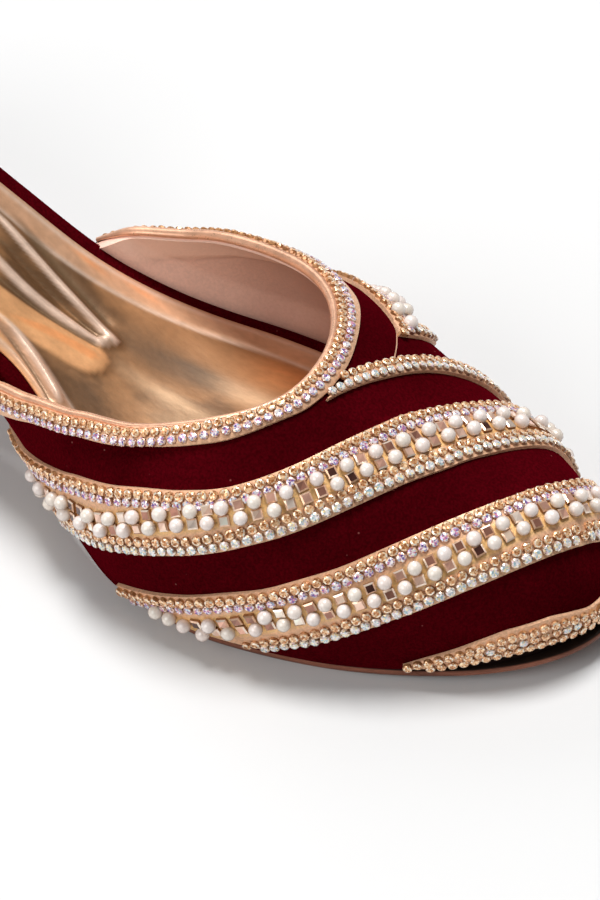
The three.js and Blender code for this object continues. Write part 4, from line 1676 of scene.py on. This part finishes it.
class MULE_OT_sole(bpy.types.Operator):
    """Makes the outsole and the velvet wrapped board"""

    bl_idname = "mule.sole"
    bl_label = "Sole"

    # Inset and height of the outsole's edge, from its top face to its underside
    leather_edge = (
        (0.7, 2.0),
        (0.25, 1.95),
        (0.05, 1.75),
        (0.0, 1.4),
        (0.1, 0.8),
        (0.3, 0.3),
        (0.6, 0.06),
        (1.0, 0.0),
    )

    # Heights over which the painted shade on the ledge begins, radius of the board's edges and sheen of its
    # velvet
    gap_shade_heights = (1.86, 1.96)
    board_corner = 0.9
    board_sheen = 0.35

    def execute(self, context):
        colours = context.scene.mule_colours
        self.make_outsole(colours)
        self.make_board(colours)
        return {"FINISHED"}

    def make_outsole(self, colours):
        """Leather outsole from the heel's breast to the toe, with painted shade on its top ledge."""
        stations = spread(150, HEEL_FRONT + GAP, LENGTH)
        points, faces = slab(stations, sole_inset, LENGTH, 0.0, self.leather_edge, 6, shape=SOLE_TOE)
        over = points[:, 2] - rise(points[:, 0])
        # Painted shade on the top face, seen on the ledge beside the upper
        masks = {"sole_gap_shade": smoothstep(over, *self.gap_shade_heights)}
        finish = leather_finish(colours)
        make_piece("outsole_leather", points, faces, finish, ("outsole",), masks)

    def make_board(self, colours):
        """Velvet wrapped board with round edges."""
        stations = spread(170, 0.0, BOARD_TOE)
        turn = np.linspace(0, np.pi / 2, 6)
        corner = list(zip(self.board_corner * (1 - np.sin(turn)), self.board_corner * (1 - np.cos(turn))))
        profile = [(inset, BOARD_HIGH - drop) for inset, drop in corner]
        profile += [(inset, BOARD_LOW + drop) for inset, drop in reversed(corner)]
        points, faces = slab(stations, board_inset, BOARD_TOE, 0.0, profile, 8)
        finish = velvet_finish(colours, "velvet_wrap", sheen=self.board_sheen)
        make_piece("board_wrap", points, faces, finish, ("insole_board",))


class MULE_OT_sock(bpy.types.Operator):
    """Makes the metallic sock with its padded border and creases"""

    bl_idname = "mule.sock"
    bl_label = "Sock"

    # Padded border: width, height, distances in from the edge over which it rises and falls, and over which
    # its colour ends
    border_width = 5.7
    border_height = 0.3
    pad_rise = (0.0, 1.6)
    pad_fall = (border_width - 0.9, border_width + 0.4)
    border_end = (border_width - 0.5, border_width + 0.5)

    # Creases: how far along one grows to its full height, and shares of it over which its tone sets in
    crease_start = 14
    crease_tone = (0.25, 0.85)

    # Painted highlights along the padded border's edges: distance in from the border and half width
    border_highlights = ((1.3, 0.6), (border_width, 0.45))

    def execute(self, context):
        stations = spread(420, SOCK_BACK, SOCK_TOE)
        top = SOCK_LOW + SOCK_THICK
        profile = (
            (0.8, top),
            (0.35, top - 0.05),
            (0.1, top - 0.2),
            (0.0, top - 0.5),
            (0.1, SOCK_LOW - 0.2),
            (0.6, SOCK_LOW - 0.25),
        )
        points, faces = slab(stations, self.inset, SOCK_TOE, SOCK_BACK, profile, 90, self.relief)
        upper_face = points[:, 2] - rise(points[:, 0]) > top - SOCK_THICK
        tones = self.tones(points[:, 0], points[:, 1])
        masks = {name: values * upper_face for name, values in tones.items()}
        finish = foil_finish(context.scene.mule_colours)
        make_piece("sock_foil", points, faces, finish, ("sock",), masks)
        return {"FINISHED"}

    def inset(self, x):
        """How far the sock keeps inside the last's outline."""
        return board_inset(x) + SOCK_RIM

    def edge_distance(self, x, y):
        """Distance in from the sock's border."""
        half = half_width(x, self.inset(x), SOCK_TOE, SOCK_BACK)
        return half - np.abs(y - centre(x))

    def crease(self, row, x, y):
        """Share of one crease at a spot, along a parabola through its three points."""
        (x0, y0), (x1, y1), (x2, y2) = row["line"]
        share = np.clip((x - x0) / (x2 - x0), 0, 1)
        bend = (x1 - x0) / (x2 - x0)
        sag = (y1 - (y0 + (y2 - y0) * bend)) / (bend * (1 - bend))
        line = y0 + (y2 - y0) * share + sag * share * (1 - share)
        beyond = np.maximum((x - x2) / row["half"] + 1, 0)
        off = np.hypot((y - line) / row["half"], beyond)
        return np.exp(-(off ** row["power"])) * smoothstep(x, x0, x0 + self.crease_start)

    def relief(self, x, y):
        """Padded border and creases, over the sock's flat face."""
        off = self.edge_distance(x, y)
        pad = self.border_height * (1 - smoothstep(off, *self.pad_fall)) * smoothstep(off, *self.pad_rise)
        return pad + sum(row["height"] * self.crease(row, x, y) for row in SOCK_CREASES)

    def tones(self, x, y):
        """Where the border, its painted highlight lines, the creases with their painted highlights and
        shade, and the broad painted reflections lie.
        """
        off = self.edge_distance(x, y)
        tones = {name: np.zeros_like(x) for name in ("dusk", "sheen", "warm_reflection", "peach", "pale", "dark")}
        tones["border"] = 1 - smoothstep(off, *self.border_end)
        # Painted highlight lines along the padded border's edges
        tones["line"] = sum(np.exp(-(((off - at) / half) ** 2)) for at, half in self.border_highlights)
        for row in SOCK_CREASES:
            tones[row["tone"]] += smoothstep(self.crease(row, x, y), *self.crease_tone)
        for row in SOCK_TONES:
            (cx, cy), (rx, ry) = row["at"], row["reach"]
            tones[row["tone"]] += row["share"] * np.exp(-(((x - cx) / rx) ** 2) - ((y - cy) / ry) ** 2)
        return {name: np.clip(values, 0, 1) for name, values in tones.items()}


class MULE_OT_heel(bpy.types.Operator):
    """Makes the velvet covered heel and its top lift"""

    bl_idname = "mule.heel"
    bl_label = "Heel"

    # Level of the plan and share of the height, where the first follows the board
    cover_levels = (
        (1.0, None),
        (0.8, 0.80),
        (0.6, 0.59),
        (0.4, 0.39),
        (0.2, 0.19),
        (0.1, 0.02),
        (0.1, 0.0),
    )

    # Level of the plan, height and how far the worn lower edge is trimmed
    lift_levels = (
        (0.1, LIFT_THICK, 0.0),
        (0.08, LIFT_THICK * 0.55, 0.0),
        (0.02, 0.5, 0.0),
        (0.0, 0.0, 0.35),
    )

    # Inset of the heel from the board, and the rounded corners of its breast
    inset = 0.8
    corner_reach = 5
    corner_depth = 2.2

    def execute(self, context):
        colours = context.scene.mule_colours
        points, faces = self.block()
        finish = velvet_finish(colours, "velvet_heel")
        make_piece("heel_cover", points, faces, finish, ("heel",), smooth_to=60)
        points, faces = self.lift()
        finish = rubber_finish(colours)
        make_piece("lift_rubber", points, faces, finish, ("top_lift",), smooth_to=40)
        return {"FINISHED"}

    def plan(self, level, trim):
        """Closed plan of the heel at a level, from the floor at 0 to the seat at 1."""
        seat_x = spread(48, HEEL_BACK, HEEL_FRONT)
        share = (seat_x - HEEL_BACK) / (HEEL_FRONT - HEEL_BACK)
        foot = HEEL_BOTTOM_BACK + (HEEL_BOTTOM_FRONT - HEEL_BOTTOM_BACK) * share
        x = foot + (seat_x - foot) * level
        half = half_width(seat_x, board_inset(seat_x) + self.inset, BOARD_TOE)
        half = half * (HEEL_BOTTOM_WIDTH + (1 - HEEL_BOTTOM_WIDTH) * level)
        corner = np.clip((seat_x - (HEEL_FRONT - self.corner_reach)) / self.corner_reach, 0, 1)
        half = half - self.corner_depth * corner**3 - trim
        y = centre(seat_x) * level
        inner = np.column_stack([x, y - half])
        outer = np.column_stack([x, y + half])[::-1]
        return np.concatenate([inner, outer]), np.concatenate([seat_x, seat_x[::-1]])

    def stack(self, rings):
        """Closed piece through rings of points, capped at both ends."""
        count = len(rings[0])
        faces = ring_faces(len(rings), count)
        for base in (0, (len(rings) - 1) * count):
            for i in range(count // 2 - 1):
                faces.append([base + i, base + i + 1, base + count - 2 - i, base + count - 1 - i])
        return np.concatenate(rings), faces

    def block(self):
        """Heel block from the board down to the lift."""
        low = LIFT_THICK + GAP - CLOSED_GAP
        rings = []
        for level, share in self.cover_levels:
            ring, seat_x = self.plan(level, 0.0)
            seat = rise(seat_x) + SOLE_THICK + CLOSED_GAP
            z = seat if share is None else low + (seat - low) * share
            rings.append(np.column_stack([ring, z]))
        return self.stack(rings)

    def lift(self):
        """Top lift with a slightly worn lower edge."""
        rings = []
        for level, z, trim in self.lift_levels:
            ring, _ = self.plan(level, trim)
            rings.append(np.column_stack([ring, np.full(len(ring), z)]))
        return self.stack(rings)


class MULE_PT_panel(bpy.types.Panel):
    """Lists the settings and the steps of the mule"""

    bl_idname = "MULE_PT_panel"
    bl_label = "Embellished mule"
    bl_space_type = "VIEW_3D"
    bl_region_type = "UI"
    bl_category = "Mule"

    def draw(self, context):
        for group in (context.scene.mule_stones, context.scene.mule_colours, context.scene.mule_stage):
            box = self.layout.box()
            for name in group.__annotations__:
                box.prop(group, name)
        for step in STEPS:
            self.layout.operator(step.bl_idname)


STEPS = (
    MULE_OT_stage,
    MULE_OT_sole,
    MULE_OT_heel,
    MULE_OT_sock,
    MULE_OT_upper,
    MULE_OT_binding,
    MULE_OT_tapes,
    MULE_OT_stones,
)
GROUPS = {"mule_stones": MuleStones, "mule_colours": MuleColours, "mule_stage": MuleStage}


def register():
    """Adds the classes and the scene's settings."""
    for group in GROUPS.values():
        bpy.utils.register_class(group)
    for name, group in GROUPS.items():
        setattr(bpy.types.Scene, name, PointerProperty(type=group))
    for step in STEPS:
        bpy.utils.register_class(step)
    bpy.utils.register_class(MULE_PT_panel)


def unregister():
    """Takes the classes and the scene's settings away."""
    bpy.utils.unregister_class(MULE_PT_panel)
    for step in reversed(STEPS):
        bpy.utils.unregister_class(step)
    for name in GROUPS:
        delattr(bpy.types.Scene, name)
    for group in reversed(list(GROUPS.values())):
        bpy.utils.unregister_class(group)


def main():
    """Dresses the shoe step by step."""
    register()
    bpy.ops.mule.stage()
    bpy.ops.mule.sole()
    bpy.ops.mule.heel()
    bpy.ops.mule.sock()
    bpy.ops.mule.upper()
    bpy.ops.mule.binding()
    bpy.ops.mule.tapes()
    bpy.ops.mule.stones()


if __name__ == "__main__":
    main()
